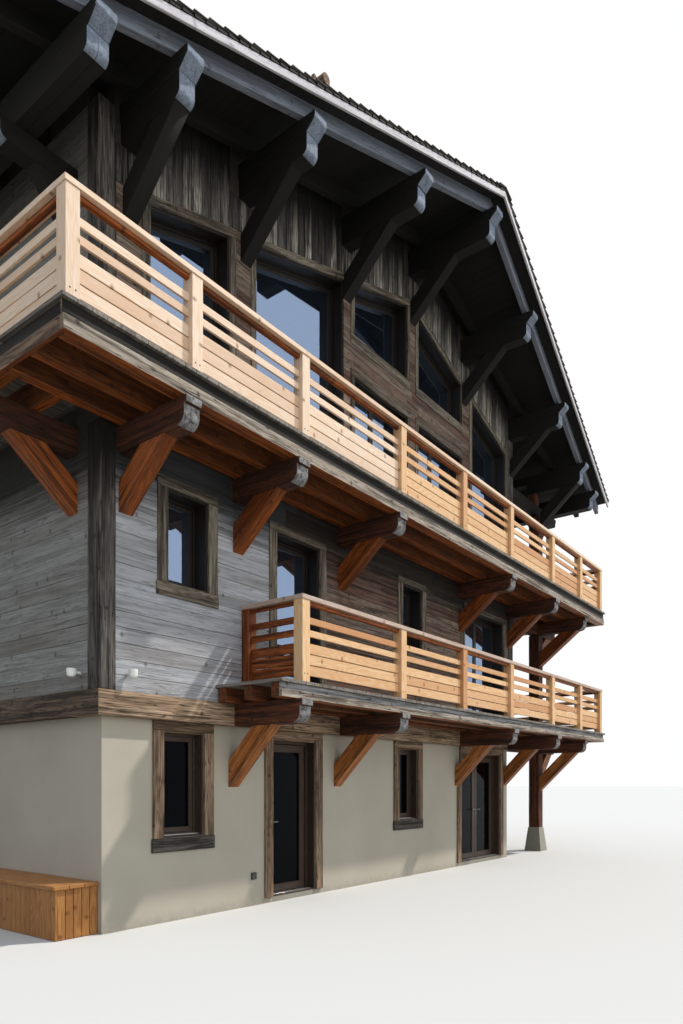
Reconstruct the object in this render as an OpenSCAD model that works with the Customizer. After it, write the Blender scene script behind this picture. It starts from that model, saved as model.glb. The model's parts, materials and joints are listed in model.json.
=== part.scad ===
// Alpine chalet on three storeys: a rendered ground storey, two timber storeys, an open
// gallery on the right, larch balconies on braced brackets and a low roof with a prow verge.
// X runs along the gable front, Y into the house, Z up. The origin is on the ground, under
// the ridge, half way between the two gables. Lengths are in millimetres.

/* [Plan] */
// Width from the rendered left wall to the outer face of the gallery posts
house_w = 12160; // [11600:40:12800]
// Depth between the rendered gable walls
house_d = 11000; // [10000:100:12600]
// Width of the open gallery on the right
gallery_w = 2060; // [1900:20:2300]
// Thickness of the rendered masonry walls
masonry_t = 330; // [300:10:450]
// Thickness of the timber walls
timber_t = 320; // [300:10:400]
// Thickness of the timber side walls in mm
side_timber_t = 220; // [160:10:240]
// How far the timber walls stand out over the rendered ones
timber_proud = 70; // [20:5:100]

/* [Levels] */
// Top of the rendered ground storey
ground_h = 2320; // [2250:10:2450]
// Height of the log ring between ground storey and timber
ring_h = 270; // [220:10:320]
// How far the log ring stands out over the timber walls
ring_proud = 50; // [25:5:70]
// Depth of the boards that clad the timber walls
board_skin = 18; // [12:1:25]
// How far the corner posts stand out over the boards
corner_out = 12; // [5:1:25]
// Side of a corner post
corner_s = 180; // [150:5:220]
// Top of the ground floor above the ground
floor_h = 70; // [40:5:100]
// Height of the joists of the lower balcony
lower_joist_h = 170; // [140:5:220]
// Underside of the joists of the upper balcony
upper_beam_z = 5400; // [5300:10:5600]
// Height of the joists of the upper balcony
upper_joist_h = 260; // [180:5:300]
// Thickness of the deck boards
deck_t = 40; // [25:1:50]

/* [Roof] */
// Height of the ridge above the ground
ridge_z = 11000; // [10800:20:11400]
// Rise of the roof for each unit of run
pitch = 0.317; // [0.29:0.001:0.34]
// Distance from the ridge to the eaves, in plan
eave_run = 7600; // [7450:10:7900]
// Overhang of the roof in front of the gable wall at the ridge
verge_ridge = 1830; // [1600:10:2000]
// Overhang of the roof in front of the gable wall at the eaves
verge_eave = 1100; // [1000:10:1300]
// Vertical thickness of the shingles and roof boards
cover_t = 70; // [50:5:90]
// Distance from the ridge to the snow guard
guard_run = 4000; // [3600:50:5200]
// Diameter of the snow guard's log
guard_log = 130; // [100:5:160]
// Height of the rafters
rafter_h = 190; // [160:5:220]
// Width of a rafter
rafter_w = 110; // [80:5:140]
// Number of rafters on each slope
rafter_n = 13; // [9:1:17]
// Depth of the outer verge board below the roof surface
verge_board_h = 160; // [130:5:200]
// Thickness of the outer verge board
verge_board_t = 32; // [25:1:45]
// How far the inner verge rafter stands back from the roof's edge
verge_rafter_in = 275; // [200:5:340]

/* [Purlins] */
// Distance from the ridge to the first purlin
purlin_1 = 1880; // [1800:10:1960]
// Distance from the ridge to the second purlin
purlin_2 = 4030; // [4015:5:4060]
// Distance from the ridge to the wall purlin
purlin_3 = 5790; // [5740:10:5800]
// Distance from the ridge to the eaves purlin
purlin_4 = 6750; // [6650:10:6850]
// Width of a purlin
purlin_w = 230; // [200:10:260]
// Height of a purlin
purlin_h = 190; // [160:5:220]
// Height of the corbel beam under a purlin
corbel_h = 240; // [200:5:260]
// How far a purlin stands back from the roof's edge
purlin_in = 120; // [100:5:260]
// How far a corbel stands back from the purlin's end
corbel_in = 130; // [80:5:200]
// Reach of an eaves console past the wall or post that carries it
console_reach = 900; // [700:10:1000]
// Height of an eaves console
console_h = 220; // [180:5:240]
// Run of a purlin strut out from the wall
purlin_strut_run = 880; // [700:10:950]
// Drop of a purlin strut below its corbel
purlin_strut_drop = 800; // [750:10:1000]

/* [Balconies] */
// Overhang of the balcony fascia in front of the rendered wall
balcony_over = 1150; // [1050:10:1250]
// Overhang of the upper balcony beside the left wall
left_over = 1150; // [1050:10:1250]
// Overhang of both balconies beyond the gallery posts
right_over = 920; // [800:10:1100]
// Left end of the lower balcony, from the left wall
lower_start = 1560; // [1500:10:1700]
// Height of a bracket beam
beam_h = 280; // [240:5:320]
// Width of a bracket beam
beam_w = 200; // [160:5:240]
// Width of a strut
strut_w = 180; // [140:5:200]
// Thickness of a strut, measured up the wall
strut_foot = 330; // [220:5:360]
// Run of a lower balcony strut out from the wall
lower_strut_run = 740; // [560:10:800]
// Drop of a lower balcony strut below its beam
lower_strut_drop = 760; // [650:10:850]
// Run of an upper balcony strut out from the wall
upper_strut_run = 760; // [600:10:850]
// Drop of an upper balcony strut below its beam
upper_strut_drop = 640; // [550:10:750]
// Width of a joist
joist_w = 120; // [70:5:140]
// Thickness of the lower fascia board
fascia_t = 45; // [35:1:60]
// How far the upper fascia board stands back from the lower one
fascia_step = 18; // [10:1:25]

/* [Railings] */
// Height of a railing above the deck
rail_h = 1050; // [950:10:1150]
// How far the railing stands back from the fascia
rail_in = 50; // [30:5:80]
// Side of a railing post
post_s = 140; // [90:5:160]
// Thickness of the handrail
cap_t = 55; // [40:1:70]
// Width of the handrail
cap_w = 160; // [140:5:200]
// Thickness of the slats and boards
slat_t = 28; // [20:1:40]
// Height of the rail under the handrail
under_rail_h = 45; // [40:5:90]
// Height of a slat
slat_h = 80; // [40:5:90]
// Height of a railing board
board_h = 122; // [110:1:132]
// Gap between railing boards
board_gap = 12; // [4:1:14]

/* [Gallery] */
// Side of a gallery post
gallery_post_s = 250; // [200:10:300]
// How far the gallery posts stand back from the end of their beams
gallery_post_in = 20; // [10:5:100]
// Number of gallery posts along the side
gallery_post_n = 4; // [3:1:6]
// Height of a concrete pier
pier_h = 560; // [450:10:600]
// Side of a pier at the ground
pier_base = 400; // [360:10:480]

/* [Openings] */
// Clear width of a window
window_w = 610; // [560:10:720]
// Clear width of the glazed garden door
garden_door_w = 910; // [850:10:1000]
// Clear width of the glazed terrace door
terrace_door_w = 1740; // [1600:10:1900]
// Sill height of the ground storey windows
ground_sill = 970; // [940:10:1100]
// Head height of the ground storey openings
ground_head = 2210; // [2150:10:2210]
// Sill height of the windows above the first floor
upper_sill = 1090; // [950:10:1150]
// Head height of the openings above the first floor
upper_head = 2170; // [2100:10:2200]
// Width of a window or door frame member
frame_w = 60; // [45:5:80]
// Depth of a window or door frame
frame_d = 80; // [60:5:90]
// How far a frame stands back from the wall's face
reveal = 120; // [90:5:140]
// The same in the timber walls of front and back in mm
timber_reveal = 190; // [110:5:220]
// Thickness of the glass
glass_t = 24; // [16:1:32]
// Width of the boards beside an opening
surround_w = 150; // [100:5:160]
// Height of the boards over and under an opening
surround_h = 110; // [80:5:110]
// Thickness of the boards round an opening
surround_t = 35; // [20:1:45]
// Height of the board under a window
sill_board_h = 160; // [120:5:180]
// Thickness of the boards that line a reveal
lining_t = 22; // [15:1:30]

/* [Doors] */
// Running gap round a door leaf
leaf_gap = 10; // [8:1:12]
// Thickness of a door leaf
leaf_t = 60; // [50:1:68]
// Width of the wood round a door leaf's glass
leaf_rim = 95; // [80:5:120]
// Radius of a hinge knuckle
knuckle_r = 9; // [7:1:12]

/* [Hidden] */

// Faces of the walls
xl = -house_w / 2;
xg = house_w / 2 - gallery_w;
xp = house_w / 2;
yf = -house_d / 2;
yb = house_d / 2;
xlt = xl - timber_proud;
xgt = xg + timber_proud;
yft = yf - timber_proud;
ybt = yb + timber_proud;

// Levels that follow from the driving sizes
ring_z = ground_h + ring_h;
lower_z = ring_z + lower_joist_h + deck_t;
upper_z = upper_beam_z + upper_joist_h + deck_t;
taper = (verge_ridge - verge_eave) / eave_run;

// Outer faces of the balconies
bf = yf - balcony_over;
bl = xl - left_over;
br = xp + right_over;
lower_x0 = xl + lower_start;

// A split between solids of one node that would otherwise touch, and the room left where a
// piece bears on a slanted one
split = 2;
seat = 0.3;
far = 40000;

// Heights of the roof
function roof_z(x) = ridge_z - pitch * abs(x);
function deck_under(x) = roof_z(x) - cover_t;
function under_z(x) = deck_under(x) - rafter_h;
function purlin_top(x) = under_z(abs(x) + purlin_w / 2) - 2 * seat;
function purlin_bottom(x) = purlin_top(x) - purlin_h;
function verge_y(x) = house_d / 2 + verge_ridge - taper * abs(x);

purlins_x = [-purlin_4, -purlin_3, -purlin_2, -purlin_1, 0, purlin_1, purlin_2, purlin_3, purlin_4];
corbels_x = [-purlin_3, -purlin_2, -purlin_1, 0, purlin_1, purlin_2, purlin_3];

// Bracket lines of the balconies, from the left wall
bracket_x = [for (d = [0.0197, 0.158, 0.3355, 0.6447, 0.8207]) xl + d * house_w];
side_bracket_y = [for (i = [0 : gallery_post_n - 1])
    yf + 400 + i * (house_d - 800) / (gallery_post_n - 1)];
gallery_y = [for (i = [0 : gallery_post_n - 1])
    yf + gallery_post_s / 2 + i * (house_d - gallery_post_s) / (gallery_post_n - 1)];
post_x = xp - gallery_post_in - gallery_post_s / 2;
post_face = post_x + gallery_post_s / 2;

// Openings: left edge, right edge, sill, head at the left edge, slope of the head
function opening(x, w, z0, z1, k = 0) = [x - w / 2, x + w / 2, z0, z1, k];
window_a = xl + 0.0913 * house_w;
garden_door_x = xl + 0.2541 * house_w;
window_c = xl + 0.4992 * house_w;
terrace_door_x = xl + 0.7278 * house_w;
o_garden = opening(garden_door_x, garden_door_w, floor_h, ground_head);
o_terrace = opening(terrace_door_x, terrace_door_w, floor_h, ground_head);
o_ground_a = opening(window_a, window_w, ground_sill, ground_head);
o_ground_c = opening(window_c, window_w, ground_sill, ground_head);
middle_head = lower_z + upper_head;
middle_sill = lower_z + upper_sill;
o_middle = [opening(window_a, window_w, middle_sill, middle_head),
    opening(garden_door_x, garden_door_w, lower_z, middle_head),
    opening(window_c, window_w, middle_sill, middle_head),
    opening(terrace_door_x, terrace_door_w, lower_z, middle_head)];
// The gable's openings have heads that follow the roof
gable_drop = 960;
gable_sill = upper_z + 2770;
gable_door_head = upper_z + 2120;
// Their edges are parts of the house's width, from the left wall
function gable_opening(e, z0) =
    let (x0 = xl + e[0] * house_w, x1 = xl + e[1] * house_w)
    [x0, x1, z0, under_z(x0) - gable_drop, (x0 < 0 ? 1 : -1) * pitch];
o_gable_tall = [for (e = [[0.046, 0.1455], [0.184, 0.339], [0.681, 0.807]])
    gable_opening(e, upper_z)];
o_gable_high = [for (e = [[0.361, 0.486], [0.515, 0.6455]]) gable_opening(e, gable_sill)];
o_gable_door = [for (o = o_gable_high) [o[0], o[1], upper_z, gable_door_head, 0]];
o_gable = concat(o_gable_tall, o_gable_high, o_gable_door);
side_windows = [yf + 3000, yb - 3000];
o_side_ground = [for (y = side_windows) opening(y, window_w, ground_sill, ground_head)];
o_side_timber = concat(
    [for (y = side_windows) opening(y, window_w, middle_sill, middle_head)],
    [for (y = side_windows) opening(y, window_w, upper_z + upper_sill, upper_z + upper_head)]);
back_x = [window_a, garden_door_x, window_c, terrace_door_x];
o_back_ground = [for (x = back_x) opening(x, window_w, ground_sill, ground_head)];
o_back_timber = concat(
    [for (x = back_x) opening(x, window_w, middle_sill, middle_head)],
    [for (x = back_x)
        opening(x, window_w, upper_z + upper_sill, upper_z + upper_head)]);

// The outline of an opening, shrunk by f on every side
function outline(o, f = 0) =
    let (x0 = o[0] + f, x1 = o[1] - f, d = f * sqrt(1 + o[4] * o[4]))
    [[x0, o[2] + f], [x1, o[2] + f], [x1, o[3] + o[4] * (x1 - o[0]) - d],
        [x0, o[3] + o[4] * (x0 - o[0]) - d]];
// An opening grown at its sides, its top and its bottom
function grow(o, s, t, b) = [o[0] - s, o[1] + s, o[2] - b, o[3] + t - o[4] * s, o[4]];

// A box from its two corners
module box(a, b) {
    translate(a) cube(b - a);
}

// A prism over an outline in the XZ plane, between two depths
module across(points, y0, y1) {
    translate([0, y1, 0]) rotate([90, 0, 0]) linear_extrude(y1 - y0) polygon(points);
}

// A prism over an outline in the YZ plane, between two widths
module along(points, x0, x1) {
    translate([x0, 0, 0]) rotate([90, 0, 90]) linear_extrude(x1 - x0) polygon(points);
}

// The roof in plan, with its edge drawn in by inset, from x0 to x1
module prow(inset, x0, x1) {
    s = x1 > 0 ? 1 : -1;
    i = s > 0 ? x0 : x1;
    o = s > 0 ? x1 : x0;
    linear_extrude(far) polygon([[i, -verge_y(i) + inset], [o, -verge_y(o) + inset],
        [o, verge_y(o) - inset], [i, verge_y(i) - inset]]);
}

// A layer of one roof slope, from top below the roof surface, t thick
module slope_band(top, t, x0, x1) {
    across([[x0, roof_z(x0) - top], [x1, roof_z(x1) - top],
        [x1, roof_z(x1) - top - t], [x0, roof_z(x0) - top - t]], -far / 2, far / 2);
}

// Rendered ground storey

module ground_wall_x(x0, x1, y0, openings) {
    difference() {
        box([x0, y0, 0], [x1, y0 + masonry_t, ground_h]);
        for (o = openings) across(outline(o), y0 - 1, y0 + masonry_t + 1);
    }
}

module ground_front_wall_left() {
    color("#b3ab9f") ground_wall_x(xl, o_garden[0], yf, [o_ground_a]);
}

module ground_front_wall_middle() {
    color("#b3ab9f") ground_wall_x(o_garden[1], o_terrace[0], yf, [o_ground_c]);
}

module ground_front_wall_right() {
    color("#b3ab9f") ground_wall_x(o_terrace[1], xg, yf, []);
}

module door_lintels() {
    color("#b3ab9f") for (o = [o_garden, o_terrace])
        box([o[0], yf, o[3]], [o[1], yf + masonry_t, ground_h]);
}

module ground_side_wall(x0) {
    difference() {
        box([x0, yf + masonry_t, 0], [x0 + masonry_t, yb - masonry_t, ground_h]);
        for (o = o_side_ground) along(outline(o), x0 - 1, x0 + masonry_t + 1);
    }
}

module ground_side_walls() {
    color("#a9a195") for (x = [xl, xg - masonry_t]) ground_side_wall(x);
}

module ground_back_wall() {
    color("#b3ab9f") ground_wall_x(xl, xg, yb - masonry_t, o_back_ground);
}

module ground_floor() {
    color("#8f8a80") {
        box([xl + masonry_t, yf + masonry_t, 0], [xg - masonry_t, yb - masonry_t, floor_h]);
        for (o = [o_garden, o_terrace]) box([o[0], yf, 0], [o[1], yf + masonry_t - split, floor_h]);
    }
}

// Log ring and floors

module log_ring() {
    p = timber_proud + ring_proud;
    color("#4d3a2c") difference() {
        box([xl - p, yf - p, ground_h], [xg + p, yb + p, ring_z]);
        box([xl + masonry_t, yf + masonry_t, ground_h - 1],
            [xg - masonry_t, yb - masonry_t, ring_z + 1]);
    }
}

module inner_floor(z0, z1) {
    box([xlt + side_timber_t, yft + timber_t, z0], [xgt - side_timber_t, ybt - timber_t, z1]);
}

module first_floor() {
    color("#9c7b58") inner_floor(ring_z, lower_z);
}

module second_floor() {
    color("#9c7b58") inner_floor(upper_beam_z, upper_z);
}

// Timber storeys

corner_proud = board_skin + corner_out;

module corner_post_boxes(z0, z1, p) {
    for (x = [xlt, xgt], y = [yft, ybt]) {
        sx = x < 0 ? 1 : -1;
        sy = y < 0 ? 1 : -1;
        box([min(x - sx * p, x + sx * corner_s), min(y - sy * p, y + sy * corner_s), z0],
            [max(x - sx * p, x + sx * corner_s), max(y - sy * p, y + sy * corner_s), z1]);
    }
}

module corner_posts() {
    color("#5b5048") {
        for (x = [xlt, xgt], y = [yft, ybt]) {
            sx = x < 0 ? 1 : -1;
            sy = y < 0 ? 1 : -1;
            x0 = min(x - sx * corner_proud, x + sx * corner_s);
            x1 = max(x - sx * corner_proud, x + sx * corner_s);
            y0 = min(y - sy * corner_proud, y + sy * corner_s);
            y1 = max(y - sy * corner_proud, y + sy * corner_s);
            box([x0, y0, ring_z], [x1, y1, upper_beam_z]);
            box([x0, y0, upper_z], [x1, y1, corner_top(x)]);
        }
    }
}

function corner_top(x) = x < 0 ? under_z(xlt - corner_proud) : purlin_bottom(purlin_2) - corbel_h;

module gable_outline() {
    polygon([[xlt, upper_z], [xgt, upper_z], [xgt, deck_under(xgt) - seat],
        [0, deck_under(0) - seat], [xlt, deck_under(xlt) - seat]]);
}

module purlin_pockets() {
    for (x = corbels_x) {
        box([x - purlin_w / 2, -far / 2, purlin_bottom(x) - seat],
            [x + purlin_w / 2, far / 2, purlin_top(x) + seat]);
        box([x - beam_w / 2, -far / 2, purlin_bottom(x) - corbel_h],
            [x + beam_w / 2, far / 2, purlin_bottom(x) + 1]);
    }
}

module middle_front_wall() {
    color("#74757a") difference() {
        box([xlt, yft, ring_z], [xgt, yft + timber_t, upper_z]);
        for (o = o_middle) across(outline(o), yft - 1, yft + timber_t + 1);
        corner_post_boxes(ring_z - 1, upper_beam_z, corner_proud);
    }
}

module gable_front_wall() {
    color("#6f6a66") difference() {
        translate([0, yft + timber_t, 0]) rotate([90, 0, 0]) linear_extrude(timber_t)
            gable_outline();
        for (o = o_gable) across(outline(o), yft - 1, yft + timber_t + 1);
        purlin_pockets();
        corner_post_boxes(upper_z - 1, far, corner_proud);
    }
}

module back_timber_wall() {
    color("#74757a") difference() {
        union() {
            box([xlt, ybt - timber_t, ring_z], [xgt, ybt, upper_z]);
            translate([0, ybt, 0]) rotate([90, 0, 0]) linear_extrude(timber_t)
                gable_outline();
        }
        for (o = o_back_timber) across(outline(o), ybt - timber_t - 1, ybt + 1);
        purlin_pockets();
        corner_post_boxes(ring_z - 1, upper_beam_z, corner_proud);
        corner_post_boxes(upper_z, far, corner_proud);
    }
}

// The room that the rafters take out of what closes the gap under the roof boards
module rafter_notches(x0, x1) {
    for (y = rafters_y) across([[x0 - 1, under_z(x0 - 1) - seat], [x1 + 1, under_z(x1 + 1) - seat],
        [x1 + 1, far], [x0 - 1, far]], y - rafter_w / 2, y + rafter_w / 2);
}

// A side wall from the log ring up to two heights, z0 at its edge x0 and z1 at its edge x1
module side_timber_wall(x0, z0, z1) {
    x1 = x0 + side_timber_t;
    difference() {
        across([[x0, ring_z], [x1, ring_z], [x1, z1], [x0, z0]], yft + timber_t, ybt - timber_t);
        for (o = o_side_timber) along(outline(o), x0 - 1, x1 + 1);
        rafter_notches(x0, x1);
    }
}

module timber_side_walls() {
    color("#74757a") {
        x1 = xlt + side_timber_t;
        side_timber_wall(xlt, deck_under(xlt) - seat, deck_under(x1) - seat);
        // The right wall carries the purlin, and a board on the purlin closes the gap above
        low = purlin_bottom(purlin_2);
        side_timber_wall(xgt - side_timber_t, low, low);
        b0 = purlin_2 - 20;
        b1 = purlin_2 + 20;
        difference() {
            across([[b0, purlin_top(purlin_2)], [b1, purlin_top(purlin_2)],
                [b1, deck_under(b1) - seat], [b0, deck_under(b0) - seat]], yft + timber_t, ybt - timber_t);
            rafter_notches(b0, b1);
        }
    }
}

// Roof

module roof_slope(x0, x1) {
    intersection() {
        slope_band(0, cover_t, x0, x1);
        prow(0, x0, x1);
    }
}

module roof_left() {
    color("#5d5a58") roof_slope(-eave_run, 0);
}

module roof_right() {
    color("#5d5a58") roof_slope(0, eave_run);
}

// The first and last rafters stand clear in front of the gable walls
rafters_y = [for (i = [0 : rafter_n - 1]) yf + i * house_d / (rafter_n - 1)
    + (i == 0 ? -300 : i == rafter_n - 1 ? 300 : 0)];

module rafters() {
    run = eave_run - 40;
    color("#4a3f36") for (y = rafters_y) {
        for (x = [[-run, -split], [split, run]]) intersection() {
            slope_band(cover_t + seat, rafter_h - seat, x[0], x[1]);
            box([-far, y - rafter_w / 2, 0], [far, y + rafter_w / 2, far]);
        }
    }
}

// Each end has an upright lip, and its underside is cut back over this length
purlin_cut = 130;

module purlins() {
    color("#57504a") for (x = purlins_x) {
        y = verge_y(x) - purlin_in;
        z0 = purlin_bottom(x);
        z1 = purlin_top(x);
        lip = z1 - purlin_h * 0.4;
        along([[-y, z1], [-y, lip], [purlin_cut - y, z0], [y - purlin_cut, z0], [y, lip], [y, z1]],
            x - purlin_w / 2, x + purlin_w / 2);
    }
}

// The end of a beam as points: an upright face, then a quarter round down to the underside.
// The end is at -reach, the beam's top is at z and its underside at z - h.
nose_steps = 8;
nose_part = 0.34;
function nose(reach, z, h) =
    let (r = h * nose_part)
    [for (i = [0 : nose_steps])
        [-reach + r - r * sin(90 * i / nose_steps), z - h + r - r * cos(90 * i / nose_steps)]];

// A corbel beam and its strut in the YZ plane, pointing to -Y from a wall face at y
module purlin_bracket(x, s) {
    z = purlin_bottom(x);
    end = verge_y(x) - purlin_in - corbel_in;
    run = purlin_strut_run;
    drop = purlin_strut_drop;
    mirror([0, s > 0 ? 1 : 0, 0]) {
        along(concat([[yft + timber_t, z], [yft + timber_t, z - corbel_h]],
            nose(end, z, corbel_h), [[-end, z]]), x - beam_w / 2, x + beam_w / 2);
        along([[yft, z - corbel_h - drop], [yft - run, z - corbel_h],
            [yft - run + strut_foot * run / drop, z - corbel_h],
            [yft, z - corbel_h - drop + strut_foot]], x - strut_w / 2, x + strut_w / 2);
    }
}

module purlin_brackets() {
    color("#4d4640") difference() {
        union() {
            for (x = corbels_x, s = [-1, 1]) purlin_bracket(x, s);
            for (s = [-1, 1]) eaves_beam(s);
        }
        corner_post_boxes(upper_z, purlin_bottom(purlin_2) - corbel_h, corner_proud);
    }
}

eaves_beam_h = 200;
console_top = purlin_bottom(purlin_4) - eaves_beam_h;

// A console under the eaves beam at each bracket line and gallery post: its beam runs out
// along X from the wall or post, and a strut props it
module eaves_consoles() {
    top = console_top;
    run = console_reach * 0.55;
    color("#4d4640") {
        for (y = side_bracket_y) translate([xlt, y, 0]) rotate(-90)
            bracket(top, console_h, console_reach, run, run * 1.15);
        for (y = gallery_y) {
            translate([post_face, y, 0]) rotate(90)
                bracket(top, console_h, console_reach + gallery_post_in, run, run * 1.15, 2);
            box([xgt + corner_proud, y - beam_w / 2, top - console_h], [post_face - 1, y + beam_w / 2, top]);
        }
    }
}

// Two beams side by side under the outermost purlin, with shaped ends
module eaves_beam(s) {
    x = s * purlin_4;
    y = verge_y(x) - purlin_in - corbel_in;
    z = purlin_bottom(x);
    back = [for (p = nose(y, z, eaves_beam_h)) [-p[0], p[1]]];
    for (i = [-1, 1])
        along(concat(nose(y, z, eaves_beam_h), [[-y, z], [y, z]], [for (k = [nose_steps : -1 : 0]) back[k]]),
            min(x + i, x + i * purlin_w / 2), max(x + i, x + i * purlin_w / 2));
}

verge_drip = 30;
verge_rafter_w = 90;

module verge_boards() {
    color("#8c8c92") for (x = [[-eave_run, -split], [split, eave_run]]) {
        edge_board(x, verge_drip, verge_board_t, cover_t + seat, verge_board_h - cover_t);
        edge_board(x, verge_rafter_in, verge_rafter_w, cover_t + seat, rafter_h);
    }
}

// A board that follows the prow edge on one slope, front and back
module edge_board(x, inset, t, top, h) {
    difference() {
        intersection() {
            slope_band(top, h, x[0], x[1]);
            prow(inset, x[0], x[1]);
        }
        prow(inset + t, x[0], x[1]);
    }
}

// A log above the wall on each slope, held off the shingles by brackets
guard_lift = 45;
guard_in = 60;
guard_bracket_n = 7;
guard_bracket_w = 40;

module snow_guards() {
    r = guard_log / 2;
    color("#6d645b") for (s = [-1, 1]) {
        x = s * guard_run;
        z = roof_z(x) + r + guard_lift;
        l = verge_y(x) - guard_in;
        translate([x, -l, z]) rotate([-90, 0, 0]) cylinder(h = 2 * l, d = guard_log, $fn = 24);
        for (i = [0 : guard_bracket_n - 1]) {
            y = -l + guard_log + i * (2 * l - 2 * guard_log) / (guard_bracket_n - 1);
            x0 = x + s * r * 0.5;
            x1 = x + s * (r + guard_bracket_w);
            across([[x0, roof_z(x0) + seat], [x1, roof_z(x1) + seat], [x1, z + r * 0.8], [x1 - s * guard_bracket_w / 2, z + r],
                [x0, z + r * 0.6]], y - guard_bracket_w / 2, y + guard_bracket_w / 2);
        }
    }
}

// Balconies

// The end of a balcony beam as points: a lip at the top, and under it a rounded lower corner
lip_h = 80;
lip_out = 35;
function lip_nose(reach, z, h) =
    let (r = (h - lip_h) * 0.6)
    concat([for (i = [0 : nose_steps]) [lip_out + r - reach - r * sin(90 * i / nose_steps),
        z - h + r - r * cos(90 * i / nose_steps)]],
        [[lip_out - reach, z - lip_h], [-reach, z - lip_h]]);

// A bracket beam with a shaped nose and a strut below it, pointing to -Y from a wall at y = 0.
// The beam runs back into what carries it by back.
module bracket(top, h, reach, run, drop, back = 0) {
    along(concat([[back, top], [back, top - h]], lip_nose(reach, top, h), [[-reach, top]]),
        -beam_w / 2, beam_w / 2);
    along([[0, top - h - drop], [-run, top - h],
        [-run + strut_foot * run / drop, top - h], [0, top - h - drop + strut_foot]],
        -strut_w / 2, strut_w / 2);
}

module lower_brackets() {
    ring_face = timber_proud + ring_proud;
    color("#8a4c25") {
        for (x = [for (i = [1 : 4]) bracket_x[i]]) translate([x, yf, 0])
            bracket(ring_z, beam_h, balcony_over + 80, lower_strut_run, lower_strut_drop, -ring_face);
        gallery_beams(ring_z, lower_strut_run, lower_strut_drop, xg + ring_face);
    }
}

module upper_brackets() {
    color("#8a4c25") difference() {
        union() {
            for (x = bracket_x) translate([x, yft, 0])
                bracket(upper_beam_z, beam_h, balcony_over - 30, upper_strut_run, upper_strut_drop);
            for (y = side_bracket_y) translate([xlt, y, 0]) rotate(-90)
                bracket(upper_beam_z, beam_h, left_over - 30, upper_strut_run, upper_strut_drop);
            gallery_beams(upper_beam_z, upper_strut_run, upper_strut_drop, xgt + corner_proud);
        }
        corner_post_boxes(ring_z, upper_beam_z + 1, corner_proud);
    }
}

// Beams over the gallery posts, and the brackets that carry on beyond them. With the wall's
// face given, each beam starts there.
module gallery_beams(top, run, drop, wall) {
    for (y = gallery_y) {
        box([wall, y - beam_w / 2, top - beam_h], [post_face - 1, y + beam_w / 2, top]);
        translate([post_face, y, 0]) rotate(90)
            bracket(top, beam_h, right_over + gallery_post_in - 60, run * 0.9, drop * 0.9, 2);
    }
    translate([post_x, yf, 0]) bracket(top, beam_h, balcony_over - 60, run * 1.2, drop * 1.16,
        gallery_post_s / 2 - beam_w / 2 + 1);
}

module balcony_joists() {
    color("#9a5a30") {
        joist_layer(lower_x0, ring_z, lower_joist_h, false);
        joist_layer(bl + fascia_t, upper_beam_z, upper_joist_h, true);
    }
}

module joist_layer(x0, z, h, with_left) {
    for (y = [bf + fascia_t, bf + balcony_over * 0.42, yft - ring_proud - joist_w])
        box([x0, y, z], [br - fascia_t, y + joist_w, z + h]);
    for (x = [br - fascia_t - joist_w, xp - joist_w, xgt + ring_proud + 500])
        box([x, yft - ring_proud + split, z], [x + joist_w, yb, z + h]);
    if (with_left) for (x = [bl + fascia_t, bl + left_over * 0.45])
        box([x, yft - ring_proud + split, z], [x + joist_w, yb, z + h]);
}

module balcony_fascias() {
    color("#77726e") {
        fascia_layer(lower_x0, ring_z, lower_joist_h, false);
        fascia_layer(bl, upper_beam_z, upper_joist_h, true);
    }
}

// Two boards, the upper one set back: the outline of their section, outer face at 0
function fascia_section(z, h) = [[0, z], [0, z + h * 0.52], [fascia_step, z + h * 0.52],
    [fascia_step, z + h], [fascia_t, z + h], [fascia_t, z]];

module fascia_layer(x0, z, h, with_left) {
    along([for (p = fascia_section(z, h)) [bf + p[0], p[1]]], x0, br);
    across([for (p = fascia_section(z, h)) [br - p[0], p[1]]], bf + fascia_t + split, yb);
    if (with_left) across([for (p = fascia_section(z, h)) [bl + p[0], p[1]]],
        bf + fascia_t + split, yb);
}

module balcony_decks() {
    color("#a78d6e") difference() {
        union() {
            deck_layer(lower_x0, lower_z - deck_t, false);
            deck_layer(bl, upper_z - deck_t, true);
        }
        corner_post_boxes(ring_z, far, corner_proud);
    }
}

deck_out = 25;

module deck_layer(x0, z, with_left) {
    box([x0 - deck_out, bf - deck_out, z], [br + deck_out, yft, z + deck_t]);
    box([xgt, yft + split, z], [br + deck_out, yb + deck_out, z + deck_t]);
    if (with_left) box([bl - deck_out, yft + split, z], [xlt, yb + deck_out, z + deck_t]);
}

// One straight run of railing from a to b along X, with posts at the given places
module railing_run(a, b, posts) {
    u = rail_h - cap_t;
    s1 = rail_h * 0.77;
    s2 = rail_h * 0.623;
    b1 = rail_h * 0.467;
    box([a, -cap_w / 2, u], [b, cap_w / 2, rail_h]);
    box([a, -slat_t, u - under_rail_h], [b, slat_t, u]);
    for (z = [s1, s2]) box([a, -slat_t / 2, z - slat_h], [b, slat_t / 2, z]);
    for (i = [1 : 3]) box([a, -slat_t / 2, b1 - i * board_h - (i - 1) * board_gap],
        [b, slat_t / 2, b1 - (i - 1) * (board_h + board_gap)]);
    for (x = posts) box([x - post_s / 2, -post_s / 2, 0], [x + post_s / 2, post_s / 2, u]);
}

rail_y = bf + rail_in + post_s / 2;
rail_l = bl + rail_in + post_s / 2;
rail_r = br - post_s / 2;
front_posts = [for (d = [0.0296, 0.1686, 0.347, 0.5008, 0.6521, 0.8199, 0.9572]) xl + d * house_w];
side_posts = [for (i = [1 : 5]) rail_y + 300 + i * (yb - rail_y - 300 - post_s) / 5];

// The lower deck runs on past its railing at the left end
lower_rail_in = 420;

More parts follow.
